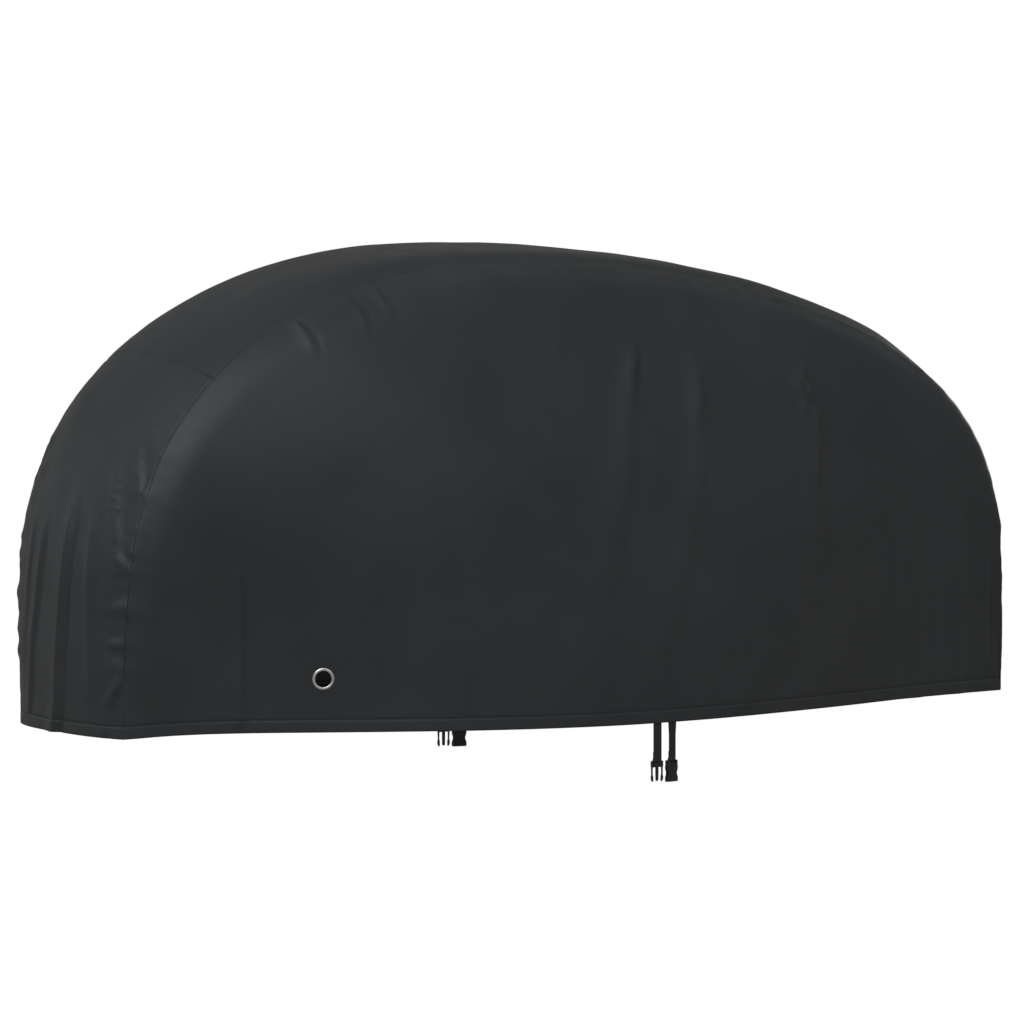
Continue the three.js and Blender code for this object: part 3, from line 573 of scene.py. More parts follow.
# The two panels of the strip, front and top, cut apart at the cross seam and sewn edge to edge.
def strip_panel(name, first, last, spacing):
    at_front, at_rear = first == 0, last == full_girth
    length = last - first
    near_start = hem_stations if at_front else seam_stations[::-1]
    near_end = hem_stations[::-1] if at_rear else seam_stations
    between = round((length - near_start[-1] - near_end[0]) / spacing)
    girths = first + stations(np.array([length]), near_start, near_end, between)[:, 0]
    # rows of girth, depth behind the outer face and depth turned in, with a hem or an allowance at each end
    rows = np.stack([girths, 0 * girths, 0 * girths], 1)
    hem = np.stack([hem_turn[:, 0], hem_turn[:, 1], 0 * hem_turn[:, 0]], 1)
    allowance = np.stack([0 * turned_in, 0 * turned_in, turned_in], 1)
    if at_front:
        rows = np.concatenate([hem, rows[1:]])
    else:
        rows = np.concatenate([allowance[::-1] + (first, 0, 0), rows])
    if at_rear:
        rows = np.concatenate([rows[:-1], hem[::-1] * (-1, 1, 1) + (full_girth, 0, 0)])
    else:
        rows = np.concatenate([rows, allowance + (last, 0, 0)])
    girths, depths, turn_in = rows.T
    half = seam_at(girths, 2)
    cells_across = round((usual_width - 2 * seam_stations[0]) / spacing)
    offs = stations(2 * half, seam_stations[::-1], seam_stations, cells_across).T
    across = offs / half[:, None] - 1
    grid_girths = np.repeat(girths[:, None], across.shape[1], 1)
    points, normals = strip_surface(grid_girths, across)
    points = points - normals * (depths + turn_in)[:, None, None]
    gap = np.where(grid_girths < (first + last) / 2, 1, -1) * seam_gap * (turn_in > 0)[:, None]
    along = unit(strip_base(np.minimum(grid_girths + 0.002, full_girth), across)
                 - strip_base(np.maximum(grid_girths - 0.002, 0), across))
    points = points + along * gap[..., None]
    out, to_strip = seam_mitre(girths)
    edges = []
    for side, edge in ((-1, points[:, 0]), (1, points[:, -1])):
        mirror = np.array([1, -side, 1])
        rows = [edge + (to_strip * seam_gap - (out * depth + to_strip * over) * trimmed(girths)) * mirror
                for depth, over in ((0.0, 0.0), *zip(turned_in, pressed_over))]
        edges.append(np.stack(rows[::side], 1) if side > 0 else np.stack(rows[::-1], 1))
    points = np.concatenate([edges[0], points[:, 1:-1], edges[1]], 1)
    widths = across * half[:, None]
    cut_across = np.concatenate([
        widths[:, :1] - turned_in[::-1], widths, widths[:, -1:] + turned_in], 1)
    cut = np.stack([np.repeat((girths - turn_in)[:, None], points.shape[1], 1), cut_across], -1)
    cells = np.ones((points.shape[0] - 1, points.shape[1] - 1), bool)
    return build_sheet(name, points, cells, cut, True)


def trimmed(girths):
    """Seam allowances are cut short where a hem is turned up over them."""
    from_hem = np.minimum(girths, full_girth - girths)
    return (0.08 + 0.92 * smooth(from_hem, hem_height, hem_height + 0.012))[..., None]


front_cloth = strip_panel("front_panel_cloth", 0, cross_seam_girth, 0.0065)
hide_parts("front_panel")
top_cloth = strip_panel("top_panel_cloth", cross_seam_girth, full_girth, 0.0085)
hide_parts("top_panel")


# The side panels: one D-shaped piece on each side, sewn to the strip all round its arch and hemmed along
# the bottom, with its own hanging folds. An eyelet is set low in each.

# the shapes that several folds share: spread, steepness, trough, crumpling and what is left at the foot
long_fold = (1.9, 0.45, 0.2, 0, 0.35)
crumpled_head = (1, 0.5, 0.35, 0.6, 0.1)
pucker = (1.2, 0.6, 0.6, 0.2, 0.2)
small_pucker = (1.2, 0.7, 0.6, 0.2, 0.2)
# the path from head to foot as place from the front hem and height over the hem, lift and half-width, all in
# millimetres, and the shape
left_creases = in_metres([
    # the long folds over the widest part, with crumpled heads
    ([(1468, 1000), (1455, 930), (1432, 845), (1410, 757), (1385, 632), (1350, 529), (1310, 380)],
     8.5, 34, 1.8, 0.45, 0.2, 0, 0.3),
    ([(1462, 995), (1455, 930), (1434, 850), (1424, 800)], 11, 23, *crumpled_head),
    ([(1672, 985), (1656, 880), (1640, 767), (1614, 639), (1580, 518), (1520, 337), (1470, 212), (1420, 110)],
     9.5, 36, *long_fold),
    ([(1660, 970), (1652, 890), (1630, 765), (1616, 700)], 11, 23, *crumpled_head),
    ([(1990, 905), (2008, 820), (2020, 750), (2005, 620), (1990, 542), (1965, 389),
      (1925, 291), (1880, 184), (1810, 110), (1740, 50)], 12.5, 36, *long_fold),
    ([(1984, 905), (1996, 820), (2012, 750), (2012, 680)], 15, 24, 1, 0.5, 0.35, 0.65, 0.1),
    ([(1958, 850), (1985, 822), (2004, 780)], 4, 10, 1, 0.6, 0.5, 0.3, 0.5),
    ([(2094, 865), (2086, 815), (2070, 760)], 3.5, 11, 1.3, 0.8, 0.4, 0.2, 0),
    ([(1219, 1005), (1236, 937), (1276, 850)], 4.5, 13, 1.6, 0.6, 0.5, 0, 0),
    # the upright ones towards the front and the rear
    ([(300, 505), (310, 430), (323, 349), (336, 210), (346, 40)], 5.5, 9, 2.4, 0.6, 0.3, 0, 0.7),
    ([(2280, 480), (2280, 300), (2270, 27)], 3.5, 16, 1.4, 0.6, 0.3, 0, 0.8),
    ([(2366, 500), (2364, 385), (2360, 200), (2354, 0)], 5, 17, 1.6, 0.7, 0.3, 0, 0.9),
    ([(2508, 540), (2507, 453), (2502, 200), (2498, 0)], 4.8, 17, 1.5, 0.7, 0.3, 0, 0.9),
    ([(2610, 400), (2609, 291), (2604, 10)], 4, 8, 1.2, 0.6, 0.3, 0, 0.8),
    # puckers below the seam
    ([(490, 1096), (509, 1064), (526, 1014)], 19, 15, 1.1, 0.5, 0.6, 0.2, 0.3),
    ([(640, 1134), (662, 1120), (676, 1094), (676, 1056)], 10, 13, *pucker),
    ([(732, 1176), (743, 1138), (752, 1086)], 17, 14, *pucker),
    ([(800, 1172), (818, 1142), (834, 1100)], 5.5, 12, *pucker),
    ([(1140, 1196), (1144, 1172), (1150, 1146)], 2.8, 8, *small_pucker),
    ([(1245, 1194), (1256, 1186), (1266, 1174)], 2.8, 8, *small_pucker),
    ([(1320, 1189), (1326, 1172), (1331, 1154)], 2.8, 8, *small_pucker),
    ([(1405, 1183), (1392, 1152), (1376, 1118)], 3, 9, *small_pucker),
    ([(1479, 1175), (1470, 1152), (1459, 1126)], 2.8, 9, *small_pucker),
])
right_creases = in_metres([
    ([(1310, 990), (1290, 900), (1255, 760), (1215, 560), (1180, 300)], 8.5, 34, 1.8, 0.45, 0.2, 0, 0.3),
    ([(1306, 985), (1288, 910), (1266, 820)], 10, 23, *crumpled_head),
    ([(1704, 955), (1680, 820), (1640, 640), (1580, 420), (1490, 120)], 9.5, 36, *long_fold),
    ([(1698, 950), (1682, 860), (1660, 760)], 10, 23, *crumpled_head),
    ([(2032, 890), (2024, 760), (2000, 560), (1950, 340), (1820, 40)], 9, 34, *long_fold),
    ([(2026, 880), (2024, 800), (2010, 720)], 9, 23, *crumpled_head),
    ([(350, 520), (352, 400), (360, 200), (362, 0)], 5, 9, 2.2, 0.6, 0.3, 0, 0.7),
    ([(2400, 530), (2398, 300), (2390, 0)], 6, 15, 1.5, 0.6, 0.3, 0, 0.9),
    ([(2540, 480), (2536, 300), (2530, 0)], 5, 13, 1.5, 0.6, 0.3, 0, 0.9),
    ([(440, 1056), (456, 1024), (468, 984)], 7, 10, *pucker),
    ([(610, 1118), (624, 1086), (634, 1040)], 5, 10, *pucker),
    ([(800, 1170), (808, 1136), (812, 1090)], 6, 10, *pucker),
    ([(1200, 1192), (1206, 1172), (1212, 1148)], 2.8, 8, *small_pucker),
    ([(1500, 1170), (1490, 1148), (1478, 1120)], 3, 9, *small_pucker),
])
eyelet_at = np.array([0.545, 0.140])
eyelet_square = (0.036, 0.034)  # reach along and up of the cells that give way to rings round the eyelet
ring_shares = (0, 0.3, 0.55, 0.75, 0.9, 1)  # of the way from those cells in to the hole
cloth_hole = 0.0240
eyelet_calm = (0.026, 0.070)  # the folds fade out between these distances from the eyelet
eyelet_pucker = 0.0005
side_columns = 431
side_cells = 56  # up each column, between the hem and the seam
least_hemmed = 0.12  # columns of the grid shorter than this, in the corners, have no turned-up hem


def side_surface(x, z, side, girth):
    """Points of a hanging side panel over places on its outline, and its outward directions.
    girth is that of the seam where a place lies in it, and is worked out for those further in."""
    creases, seed = (left_creases, 21) if side < 0 else (right_creases, 22)
    top = np.interp(x, seam_x, seam_z)
    front = np.interp(z, seam_z[:top_index], seam_x[:top_index])
    rear = np.interp(-z, -seam_z[top_index:], seam_x[top_index:])
    below, behind, ahead = (np.maximum(v, 1e-6) for v in (top - z, x - front, rear - x))
    off = 1 / np.sqrt(1 / below ** 2 + 1 / behind ** 2 + 1 / ahead ** 2)
    nearest = np.interp(x, seam_x, seam_line) / below ** 2
    nearest += np.interp(z, seam_z[:top_index], seam_line[:top_index]) / behind ** 2
    nearest += np.interp(-z, -seam_z[top_index:], seam_line[top_index:]) / ahead ** 2
    girth = girth + (nearest * off ** 2 - girth) * smooth(off, 0, 0.006)
    lift = crease_lift(creases, x, z)
    lift += side_swell * unevenness(x, z, seed, 0.60, 0.10)
    from_eyelet = np.hypot(x - eyelet_at[0], z - eyelet_at[1])
    angle = np.arctan2(z - eyelet_at[1], x - eyelet_at[0])
    lift *= smooth(from_eyelet, *eyelet_calm)
    lift += eyelet_pucker * np.cos(7 * angle + 1) * np.exp(-((from_eyelet - 0.036) / 0.008) ** 2)
    lift *= smooth(off, -0.003, 0.020)
    lift += hem_lift(z)
    lift *= smooth(off, 0, 0.002)
    normal = side_normal(x, z)
    rise = curve(hem_rows[:, 0], hem_rows[:, 2], x) * (1 - z / np.maximum(top, 0.001))
    base = np.stack([x, -side_half(x, z), z + rise], -1)
    sunk = side_seam_lift(girth, off)
    return base + normal * lift[..., None] + seam_mitre(girth)[0] * sunk[..., None], normal


def side_panel(name, side):
    # the columns of the grid lean back with the folds, from these places on the hem to these girths
    hem_marks = [0, 0.060, 0.175, 0.440, 0.650, 1.110, 1.230, 1.420, 1.660, 1.800, 2.280, 2.480, 2.650]
    girth_marks = [0, 0.550, 1.000, 1.290, 1.570, 2.270, 2.405, 2.625, 2.865, 3.010, 3.330, 3.700, full_girth]
    girths = np.linspace(0, 1, side_columns)
    girths = full_girth * (girths + 0.02 * np.sin(2 * math.pi * girths) / math.pi)
    hem_x = np.interp(girths, girth_marks, hem_marks)
    top_x, top_z = seam_at(girths, 0), seam_at(girths, 1)
    length = np.hypot(top_x - hem_x, top_z)
    runs = stations(length, hem_stations, seam_stations, side_cells)
    share = runs / np.maximum(length, 1e-6)
    x = hem_x + (top_x - hem_x) * share
    z = top_z * share
    all_girths = np.repeat(girths[None], len(x), 0)
    points, normals = side_surface(x, z, side, all_girths)
    turned, inward = hem_turn[:, :1] * (length > least_hemmed), hem_turn[:, 1:]
    turn_share = turned / np.maximum(length, 1e-6)
    turn_x = hem_x + (top_x - hem_x) * turn_share
    turn_points, turn_normals = side_surface(turn_x, top_z * turn_share, side, all_girths[:len(turned)])
    turn_points = turn_points - turn_normals * inward[..., None]
    out, to_strip = seam_mitre(girths)
    edge = points[-1] - to_strip * seam_gap
    fins = np.stack([edge - (out * depth + to_strip * over) * trimmed(girths)
                     for depth, over in zip(turned_in, pressed_over)])
    cut = np.stack([x, z], -1)
    cut = np.concatenate([
        np.stack([turn_x, -hem_turn[:, :1] * np.ones_like(turn_x)], -1),
        cut[1:], np.repeat(cut[-1:], len(turned_in), 0) + turned_in[:, None, None]])
    points = np.concatenate([turn_points, points[1:-1], edge[None], fins])
    cells = np.ones((points.shape[0] - 1, points.shape[1] - 1), bool)
    # the square of cells round the eyelet gives way to rings of faces that end at the hole
    first_row = len(hem_turn) - 1
    near = np.abs(x - eyelet_at[0]) + np.abs(z - eyelet_at[1])
    row, column = np.unravel_index(np.argmin(near), near.shape)
    steps = range(1, 20)
    fore = next(k for k in steps if eyelet_at[0] - x[row, column - k] > eyelet_square[0])
    aft = next(k for k in steps if x[row, column + k] - eyelet_at[0] > eyelet_square[0])
    down = next(k for k in steps if eyelet_at[1] - z[row - k, column] > eyelet_square[1])
    up = next(k for k in steps if z[row + k, column] - eyelet_at[1] > eyelet_square[1])
    r0, r1, c0, c1 = row - down, row + up, column - fore, column + aft
    cells[first_row + r0:first_row + r1, c0:c1] = False
    loop = [(r0, c) for c in range(c0, c1)] + [(r, c1) for r in range(r0, r1)]
    loop += [(r1, c) for c in range(c1, c0, -1)] + [(r, c0) for r in range(r1, r0, -1)]
    outer = np.array([(x[r, c], z[r, c]) for r, c in loop])
    lean = -side_normal(*eyelet_at[:, None])[0, 1]
    angles = np.arctan2(outer[:, 1] - eyelet_at[1], outer[:, 0] - eyelet_at[0])
    hole = eyelet_at + cloth_hole * np.stack([np.cos(angles) * lean, np.sin(angles)], -1)
    rings = np.stack([outer + (hole - outer) * share for share in ring_shares])
    ring_points, _ = side_surface(rings[..., 0], rings[..., 1], side, np.full(rings.shape[:2], 1.5))
    ring_points[0] = np.array([points[first_row + r, c] for r, c in loop])
    following = np.roll(ring_points, -1, 1)
    next_rings = np.roll(rings, -1, 1)
    corners = np.stack([ring_points[:-1], following[:-1], following[1:], ring_points[1:]], 2)
    places = np.stack([rings[:-1], next_rings[:-1], next_rings[1:], rings[1:]], 2)
    mirror = np.array([1, -side, 1])
    piece = build_sheet(name, points * mirror, cells, cut, side > 0, [(corners * mirror, places)])
    return piece


for word, side in (("left", -1), ("right", 1)):
    panel = side_panel(f"side_panel_cloth_{word}", side)
    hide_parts(f"side_panel_{word}", f"eyelet_strip_{word}")


# The stitching: lockstitches in bonded polyester thread, close beside the seams and along the top of the
# hems. Each stitch lies on the cloth and dives into it at both ends.
stitch_pitch = 0.0050
thread_radius = 0.0005  # drawn a little thicker than the real thread, which is 0.7 mm across
stitch_ring = 5
stitch_rings = np.array([
    # place along the stitch in pitches, height of the thread's middle and its radius in thread radii
    (-0.46, -0.9, 0.7), (-0.36, 0.2, 1.0), (0.0, 0.55, 1.1), (0.36, 0.2, 1.0), (0.46, -0.9, 0.7),
])
beside_seam = 0.0068


def sewing_thread():
    """Dull black thread, whose twist shows as fine slanting bands: painted shade in its grooves and painted
    light on its crests, over a bump of the same twist.
    """
    material, tree, shader = new_material("bonded polyester thread")
    place = add_node(tree, "TexCoord", "Object")
    twist = add_node(
        tree, "TexWave", "Fac",
        {"Scale": 900.0, "Distortion": 1.0, "bands_direction": "DIAGONAL", "Vector": place})
    # painted shade: the colour darkens in the twist's grooves and lightens on its crests
    shade = add_node(
        tree, "Mix", 2, {"data_type": "RGBA", 6: linear("#1c1d1e"), 7: linear("#343537"), 0: twist})
    tree.links.new(shade, shader.inputs["Base Color"])
    bump = add_node(tree, "Bump", "Normal", {"Strength": 0.5, "Distance": 0.0002, "Height": twist})
    tree.links.new(bump, shader.inputs["Normal"])
    shader.inputs["Roughness"].default_value = 0.55
    shader.inputs["Specular IOR Level"].default_value = 0.35
    return material


def stitches(points, normals):
    """Corners of the stitches along a line on the cloth: one row for each stitch, of rings along it."""
    gone = np.concatenate([[0], np.cumsum(np.linalg.norm(np.diff(points, axis=0), axis=1))])
    at = (np.arange(int(gone[-1] / stitch_pitch)) + 0.5) * stitch_pitch

    def along_line(values, places):
        return np.stack([np.interp(places, gone, v) for v in values.T], 1)[:, None, None]

    centre = along_line(points, at)
    way = unit(along_line(points, at + 0.001) - along_line(points, at - 0.001))
    up = unit(along_line(normals, at))
    across = np.cross(way, up)
    run, height, radius = (stitch_rings[:, k][None, :, None, None] for k in range(3))
    turn = (2 * math.pi * np.arange(stitch_ring) / stitch_ring)[None, None, :, None]
    return (
        centre + way * run * stitch_pitch
        + up * (height + radius * np.cos(turn)) * thread_radius
        + across * radius * np.sin(turn) * thread_radius)


thread_material = sewing_thread()


def tube_faces(corners):
    """Faces of tubes with closed ends, whose corners lie in rings along each."""
    index = np.arange(corners[..., 0].size).reshape(corners.shape[:-1])
    after = np.roll(index, -1, -1)
    walls = np.stack([index[..., :-1, :], index[..., 1:, :], after[..., 1:, :], after[..., :-1, :]], -1)
    ends = np.stack([index[..., 0, :], index[..., -1, ::-1]])
    return walls.reshape(-1, 4).tolist() + ends.reshape(-1, index.shape[-1]).tolist()


def thread_piece(name, lines):
    corners = np.concatenate([stitches(*line) for line in lines])
    piece = new_piece(name, hung_mesh(name, corners, tube_faces(corners)), thread_material)
    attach(piece, "root")


seam_threads, hem_threads = [], []
run_girths = np.arange(hem_height + 0.004, full_girth - hem_height - 0.004, 0.004)
for side in (-1, 1):
    beside = side * (1 - beside_seam / seam_at(run_girths, 2))
    seam_threads.append(strip_surface(run_girths, beside))
widths = np.linspace(-0.985, 0.985, 160)
seam_threads.append(strip_surface(np.full_like(widths, cross_seam_girth + beside_seam), widths))
for girth in (hem_height, full_girth - hem_height):
    hem_threads.append(strip_surface(np.full_like(widths, girth), widths))
hem_run = np.linspace(0.006, cover_length - 0.006, 700)
nearest_girth = np.where(hem_run < cover_length / 2, hem_height, full_girth - hem_height)
for side in (-1, 1):
    points, normals = side_surface(hem_run, np.full_like(hem_run, hem_height), side, nearest_girth)
    mirror = np.array([1, -side, 1])
    hem_threads.append((points * mirror, normals * mirror))
thread_piece("seam_stitching", seam_threads)
thread_piece("hem_stitching", hem_threads)


# The eyelets: two-part ones of nickel-plated brass or steel, 58 mm across. The flange is rolled over a barrel
# through the cloth and set on a flat washer inside. It is bright, with a faint haze over what it mirrors.
eyelet_profile = np.array([
    # radius and height over the cloth's outer face, in millimetres
    (21.5, -2.5), (22.0, -2.9), (27.4, -2.9), (28.0, -2.5), (28.0, -1.8), (27.6, -1.4), (23.7, -1.3),
    (23.4, -1.0), (23.4, 0.1), (23.7, 0.3), (28.2, 0.3), (28.8, 0.4), (29.0, 0.8), (28.8, 1.4),
    (28.0, 2.2), (26.8, 2.9), (25.4, 3.3), (24.0, 3.3), (22.8, 2.9), (22.0, 2.2), (21.6, 1.2), (21.5, 0.0),
])
eyelet_segments = 96


def plated_metal():
    material, tree, shader = new_material("nickel-plated steel")
    place = add_node(tree, "TexCoord", "Object")
    shader.inputs["Metallic"].default_value = 1.0
    haze = add_node(tree, "TexNoise", "Fac", {"Scale": 160.0, "Detail": 4.0, "Vector": place})
    tone = add_node(
        tree, "Mix", 2, {"data_type": "RGBA", 6: linear("#c3c2bf"), 7: linear("#d8d8d6"), 0: haze})
    tree.links.new(tone, shader.inputs["Base Color"])
    roughness = add_node(tree, "MapRange", "Result", {"To Min": 0.32, "To Max": 0.46, "Value": haze})
    tree.links.new(roughness, shader.inputs["Roughness"])
    fine = add_node(tree, "TexNoise", "Fac", {"Scale": 900.0, "Detail": 2.0, "Vector": place})
    bump = add_node(tree, "Bump", "Normal", {"Strength": 0.15, "Distance": 0.0001, "Height": fine})
    tree.links.new(bump, shader.inputs["Normal"])
    return material


eyelet_metal = plated_metal()
for word, side in (("left", -1), ("right", 1)):
    face = side_normal(*eyelet_at[:, None])[0]
    middle = np.array([eyelet_at[0], -side_half(*eyelet_at[:, None])[0], eyelet_at[1]])
    up = unit(np.array([0, 0, 1]) - face * face[2])
    across = np.cross(up, face)
    turn = (2 * math.pi * np.arange(eyelet_segments) / eyelet_segments)[:, None, None]
    radius, height = (eyelet_profile[:, k][None, :, None] / 1000 for k in range(2))
    corners = middle + (across * np.cos(turn) + up * np.sin(turn)) * radius + face * height
    corners = corners * np.array([1, -side, 1])
    index = np.arange(corners[..., 0].size).reshape(corners.shape[:2])
    after = np.roll(index, -1, 0)
    quads = np.stack([index, after, np.roll(after, -1, 1), np.roll(index, -1, 1)], -1).reshape(-1, 4)
    if side > 0:
        quads = quads[:, ::-1]
    ring_mesh = hung_mesh(f"eyelet_ring_{word}", corners, quads.tolist())
    ring = new_piece(f"eyelet_ring_{word}", ring_mesh, eyelet_metal, 50)
    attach(ring, "root")
    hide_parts(f"eyelet_{word}")


# The straps: black polypropylene webbing 25 mm wide, woven with ribs along it and sewn inside the hem. Each
# hangs down, goes round the bar of its half of a buckle and is sewn back on itself.
strap_width = 0.025
strap_thickness = 0.0015
wall_depth = 0.0010
strap_clearance = 0.0011  # between the wall and a strap
sewn_height = 0.028
to_bar = 0.104
turned_back = 0.026
drawn_in = 0.011  # height over the bar in which the end that is turned back closes on the strap
sewn_from = 0.013
settle = 0.040  # length below the hem over which a strap turns as it hangs
bar_radius = 0.0018
bar_length = 0.030
snug_gap = 0.0003  # between the webbing and the bar, and between its two lengths where it is sewn back
loop_radius = bar_radius + snug_gap + strap_thickness / 2
rib_pitch = 0.0025
pick_pitch = 0.0016  # drawn coarser than the real weft, as in the cloth
strap_places = [
    # name, side, place, turn as it hangs, and the half of the buckle it carries
    ("front_left", -1, 1.440, 0, "plug"),
    ("rear_left", -1, 1.486, 12, "socket"),
    ("front_right", 1, 1.440, 4, "plug"),
    ("rear_right", 1, 1.486, -5, "socket"),
]


def ribbed_webbing():
    """Dull black webbing, whose ribs and weft show as fine rows of light and dark: painted shade in the
    hollows between them and painted light on their crests, over a bump of the same weave.
    """
    material, tree, shader = new_material("woven polypropylene webbing")
    cut = add_node(tree, "UVMap", "UV", {"uv_map": "cut"})
    over = add_node(tree, "SeparateXYZ", "X", {0: cut})
    rib_turn = add_node(tree, "Math", "Value", {"operation": "MULTIPLY", 1: 2 * math.pi / rib_pitch, 0: over})
    rib = add_node(tree, "Math", "Value", {"operation": "COSINE", 0: rib_turn})
    pick_turn = add_node(
        tree, "Math", "Value",
        {"operation": "MULTIPLY", 1: 2 * math.pi / pick_pitch, 0: over.node.outputs["Y"]})
    pick = add_node(tree, "Math", "Value", {"operation": "SINE", 0: pick_turn})
    weave = add_node(tree, "Math", "Value", {"operation": "MULTIPLY_ADD", 1: 0.3, 0: pick, 2: rib})
    shade = add_node(tree, "MapRange", "Result", {"From Min": -1.3, "From Max": 1.3, "Value": weave})
    # painted shade: the colour darkens where the weave is low and lightens where it is high
    tone = add_node(
        tree, "Mix", 2, {"data_type": "RGBA", 6: linear("#131314"), 7: linear("#2c2d2e"), 0: shade})
    tree.links.new(tone, shader.inputs["Base Color"])
    bump = add_node(tree, "Bump", "Normal", {"Strength": 0.6, "Distance": 0.0004, "Height": weave})
    tree.links.new(bump, shader.inputs["Normal"])
    shader.inputs["Roughness"].default_value = 0.6
    shader.inputs["Specular IOR Level"].default_value = 0.3
    return material


def turned(vectors, angle):
    c, s = np.cos(angle), np.sin(angle)
    x, y, z = vectors[..., 0], vectors[..., 1], vectors[..., 2]
    return np.stack([x * c - y * s, x * s + y * c, z], -1)


def strap_top(side, place):
    """Where a strap's middle line meets the hem inside the wall, and the wall's angle there from above."""
    near = np.array([place - strap_width / 2, place, place + strap_width / 2])
    wall = side_half(near, np.zeros(3))
    inside = wall[1] - wall_depth - strap_clearance - strap_thickness / 2
    return np.array([place, side * inside, 0.0]), side * math.atan((wall[2] - wall[0]) / strap_width)


webbing = ribbed_webbing()
down = np.linspace(sewn_height, -to_bar, 45)
half_turn = math.pi * np.arange(1, 12) / 12
together = strap_thickness + snug_gap
strap_path = [(0.0, z) for z in down]
strap_path += [(loop_radius * (1 - math.cos(a)), -to_bar - loop_radius * math.sin(a)) for a in half_turn]
strap_path += [
    (2 * loop_radius - (2 * loop_radius - together) * float(smooth(u, 0, 1)), -to_bar + drawn_in * u)
    for u in (0.0, 0.15, 0.3, 0.45, 0.6, 0.8, 1.0)
]
strap_path += [(together, z) for z in np.linspace(-to_bar + sewn_from, -to_bar + turned_back, 6)]
strap_path = np.array(strap_path)
strap_run = np.concatenate([[0], np.cumsum(np.hypot(*np.diff(strap_path, axis=0).T))])
# half of the webbing's section from edge to edge, with rounded edges: place across and through, in halves
section = [(-1, 0.0), (-1, 0.55), (-0.985, 0.88), (-0.95, 1.0), (-0.6, 1.0), (-0.2, 1.0)]
section += [(-a, h) for a, h in reversed(section)]
section += [(-a, -h) for a, h in section[1:-1]]
section = np.array(section) * (strap_width / 2, strap_thickness / 2)
for name, side, place, hang_turn, end in strap_places:
    top, wall_angle = strap_top(side, place)
    settled = smooth(-strap_path[:, 1], 0, settle)
    angle = wall_angle + math.radians(hang_turn) * settled
    run = unit(np.gradient(strap_path, axis=0))
    across, through = section[:, 0][None], section[:, 1][None]
    local = np.stack([
        np.repeat(across, len(run), 0),
        -side * (strap_path[:, :1] + through * run[:, 1:]),
        strap_path[:, 1:] - through * run[:, :1],
    ], -1)
    corners = turned(local, angle[:, None]) + top
    faces = tube_faces(corners)
    if side > 0:
        faces = [face[::-1] for face in faces]
    lies = np.stack([np.repeat(across, len(run), 0), np.repeat(strap_run[:, None], len(section), 1)], -1)
    strap_mesh = hung_mesh(f"strap_webbing_{name}", corners, faces, lies)
    strap = new_piece(f"strap_webbing_{name}", strap_mesh, webbing, 60)
    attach(strap, "root")
    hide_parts(f"strap_{name}")


# The buckles: side-release ones moulded in black acetal, 36 mm wide. The plug has a guide between two
# sprung prongs with barbed tips, and the socket is a hollow box with windows at its sides.
plug_outline = [
    (14, -3.9), (14, 2), (17, 2), (18, 1), (18, -12), (17, -14.5), (16.5, -34), (18, -40), (17.6, -46),
    (14.5, -52), (12.6, -50), (12.8, -38), (14.2, -34), (14.2, -15), (3.6, -14), (3.2, -46), (1.6, -50),
]
socket_outline = [
    (14, -3.9), (14, 2), (17, 2), (18, 1), (18, -11), (19, -15), (18.4, -22), (16, -28), (15.5, -32),
    (16.5, -37), (19, -42), (19, -52), (17.5, -54),
]
edge_radius = 0.0006
plug_depth = 0.006
socket_depth = 0.011
hollow_depth = 0.0064
plug_ribs = (-10.2, -12.4)  # heights of the ribs for the grip under the bar, in millimetres
socket_ribs = (-12.0, -14.6, -17.2)


def moulded_acetal():
    """Black plastic of a low gloss, rubbed a little uneven, with the fine grain of its mould."""
    material, tree, shader = new_material("moulded acetal")
    place = add_node(tree, "TexCoord", "Object")
    spark = add_node(tree, "TexNoise", "Fac", {"Scale": 1400.0, "Detail": 2.0, "Vector": place})
    rubbed = add_node(tree, "TexNoise", "Fac", {"Scale": 60.0, "Detail": 3.0, "Vector": place})
    tone = add_node(
        tree, "Mix", 2, {"data_type": "RGBA", 6: linear("#141415"), 7: linear("#1d1e1f"), 0: rubbed})
    tree.links.new(tone, shader.inputs["Base Color"])
    roughness = add_node(tree, "MapRange", "Result", {"To Min": 0.30, "To Max": 0.46, "Value": rubbed})
    tree.links.new(roughness, shader.inputs["Roughness"])
    bump = add_node(tree, "Bump", "Normal", {"Strength": 0.2, "Distance": 0.0001, "Height": spark})
    tree.links.new(bump, shader.inputs["Normal"])
    shader.inputs["Specular IOR Level"].default_value = 0.45
    return material


def moulding(outline, depth):
    """A plate with rounded edges from half an outline in millimetres, from a lug round to the middle."""
    whole = outline + [(-x, z) for x, z in reversed(outline)]
    curve_data = bpy.data.curves.new("moulding", "CURVE")
    curve_data.dimensions = "2D"
    curve_data.fill_mode = "BOTH"
    curve_data.extrude = depth / 2 - edge_radius
    curve_data.bevel_depth = edge_radius
    curve_data.bevel_resolution = 2
    curve_data.offset = -edge_radius
    spline = curve_data.splines.new("POLY")
    spline.points.add(len(whole) - 1)
    for point, (x, z) in zip(spline.points, whole):
        point.co = (x / 1000, z / 1000, 0, 1)
    spline.use_cyclic_u = True
    shape = bpy.data.objects.new("moulding", curve_data)
    mesh = bpy.data.meshes.new_from_object(shape)
    bpy.data.objects.remove(shape)
    mesh.transform(Matrix.Rotation(math.radians(90), 4, "X"))
    return mesh


def mesh_of(work):
    mesh = bpy.data.meshes.new("buckle")
    work.to_mesh(mesh)
    work.free()
    return mesh


def joined(meshes):
    work = bmesh.new()
    for mesh in meshes:
        work.from_mesh(mesh)
    bmesh.ops.remove_doubles(work, verts=work.verts, dist=merged_gap / 2)
    return mesh_of(work)


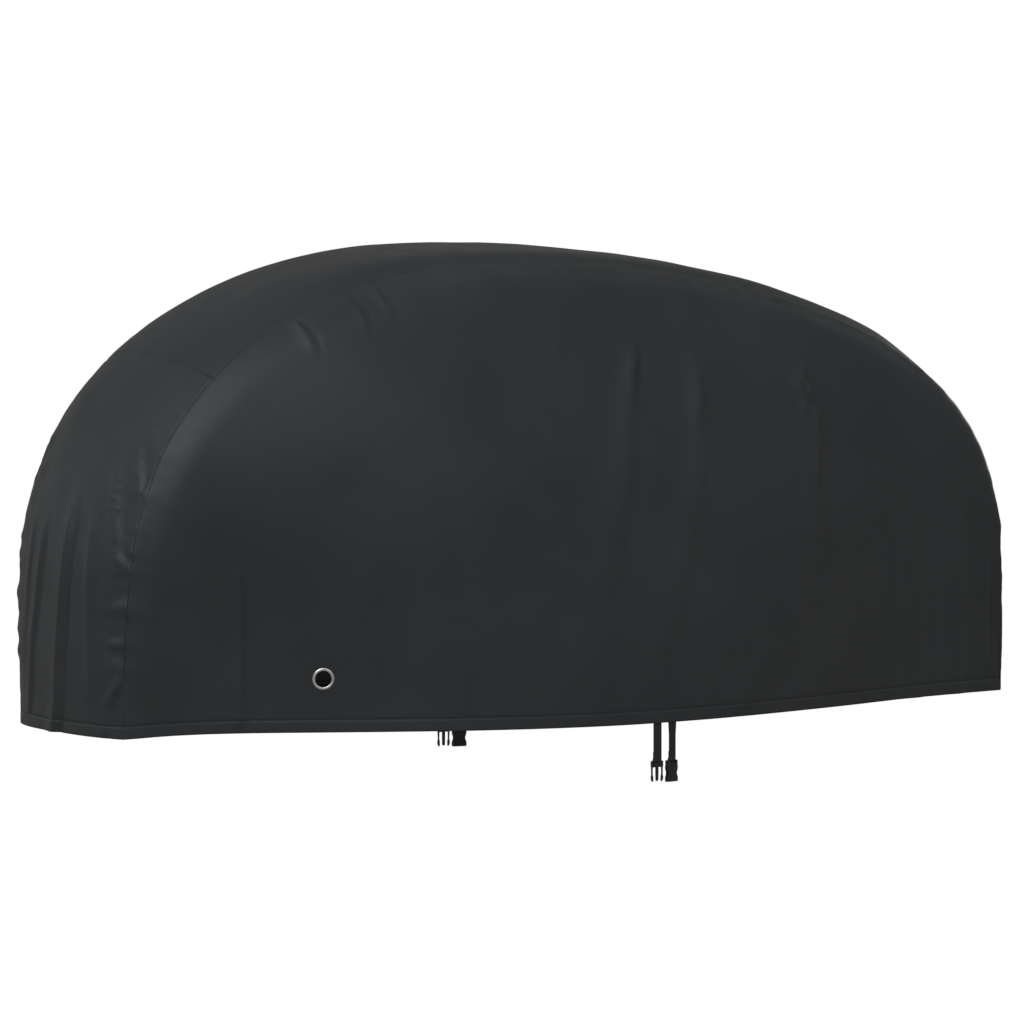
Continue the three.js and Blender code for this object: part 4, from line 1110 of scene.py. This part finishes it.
def block(width, depth, height, at, bevel=0):
    work = bmesh.new()
    bmesh.ops.create_cube(
        work, size=1, matrix=Matrix.Translation(at) @ Matrix.Diagonal((width, depth, height, 1)))
    if bevel:
        bmesh.ops.bevel(work, geom=work.edges, offset=bevel, segments=2, profile=0.5, affect="EDGES")
    return mesh_of(work)


def round_bar(length, radius):
    work = bmesh.new()
    bmesh.ops.create_cone(
        work, cap_ends=True, segments=24, radius1=radius, radius2=radius, depth=length,
        matrix=Matrix.Rotation(math.radians(90), 4, "Y"))
    return mesh_of(work)


def carved(mesh, cutters):
    body = bpy.data.objects.new("body", mesh)
    scene.collection.objects.link(body)
    tools = []
    for cutter in cutters:
        tool = bpy.data.objects.new("cutter", cutter)
        scene.collection.objects.link(tool)
        tools.append(tool)
        cut = body.modifiers.new("cut", "BOOLEAN")
        cut.operation = "DIFFERENCE"
        cut.solver = "EXACT"
        cut.object = tool
    bpy.context.view_layer.update()
    result = bpy.data.meshes.new_from_object(body.evaluated_get(bpy.context.evaluated_depsgraph_get()))
    for made in [body, *tools]:
        bpy.data.objects.remove(made)
    return result


acetal = moulded_acetal()
bar = round_bar(bar_length, bar_radius)
plug_body = [moulding(plug_outline, plug_depth), bar]
plug_body += [
    block(0.020, 0.0009, 0.0011, Vector((0, face * (plug_depth / 2 + 0.0001), z / 1000)), 0.0003)
    for face in (-1, 1) for z in plug_ribs
]
# the socket's mouth from below, and the windows right through its sides
socket_shell = carved(moulding(socket_outline, socket_depth), [
    block(0.027, hollow_depth, 0.036, Vector((0, 0, -0.038))),
    block(0.080, hollow_depth, 0.011, Vector((0, 0, -0.0315))),
])
socket_body = [socket_shell, bar]
socket_body += [
    block(0.016, 0.0010, 0.0012, Vector((0, face * socket_depth / 2, z / 1000)), 0.0003)
    for face in (-1, 1) for z in socket_ribs
]
shapes = {"plug": joined(plug_body), "socket": joined(socket_body)}
for name, side, place, hang_turn, end in strap_places:
    top, wall_angle = strap_top(side, place)
    angle = wall_angle + math.radians(hang_turn)
    inward = turned(np.array([0, -side * loop_radius, 0]), angle)
    word = "left" if side < 0 else "right"
    mesh = shapes[end].copy()
    mesh.transform(
        Matrix.Translation(Vector(top + inward - held_at - (0, 0, to_bar))) @ Matrix.Rotation(angle, 4, "Z"))
    mesh.materials.clear()
    half_buckle = new_piece(f"buckle_half_{end}_{word}", mesh, acetal, 35)
    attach(half_buckle, "root")
    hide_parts(f"buckle_{end}_{word}")
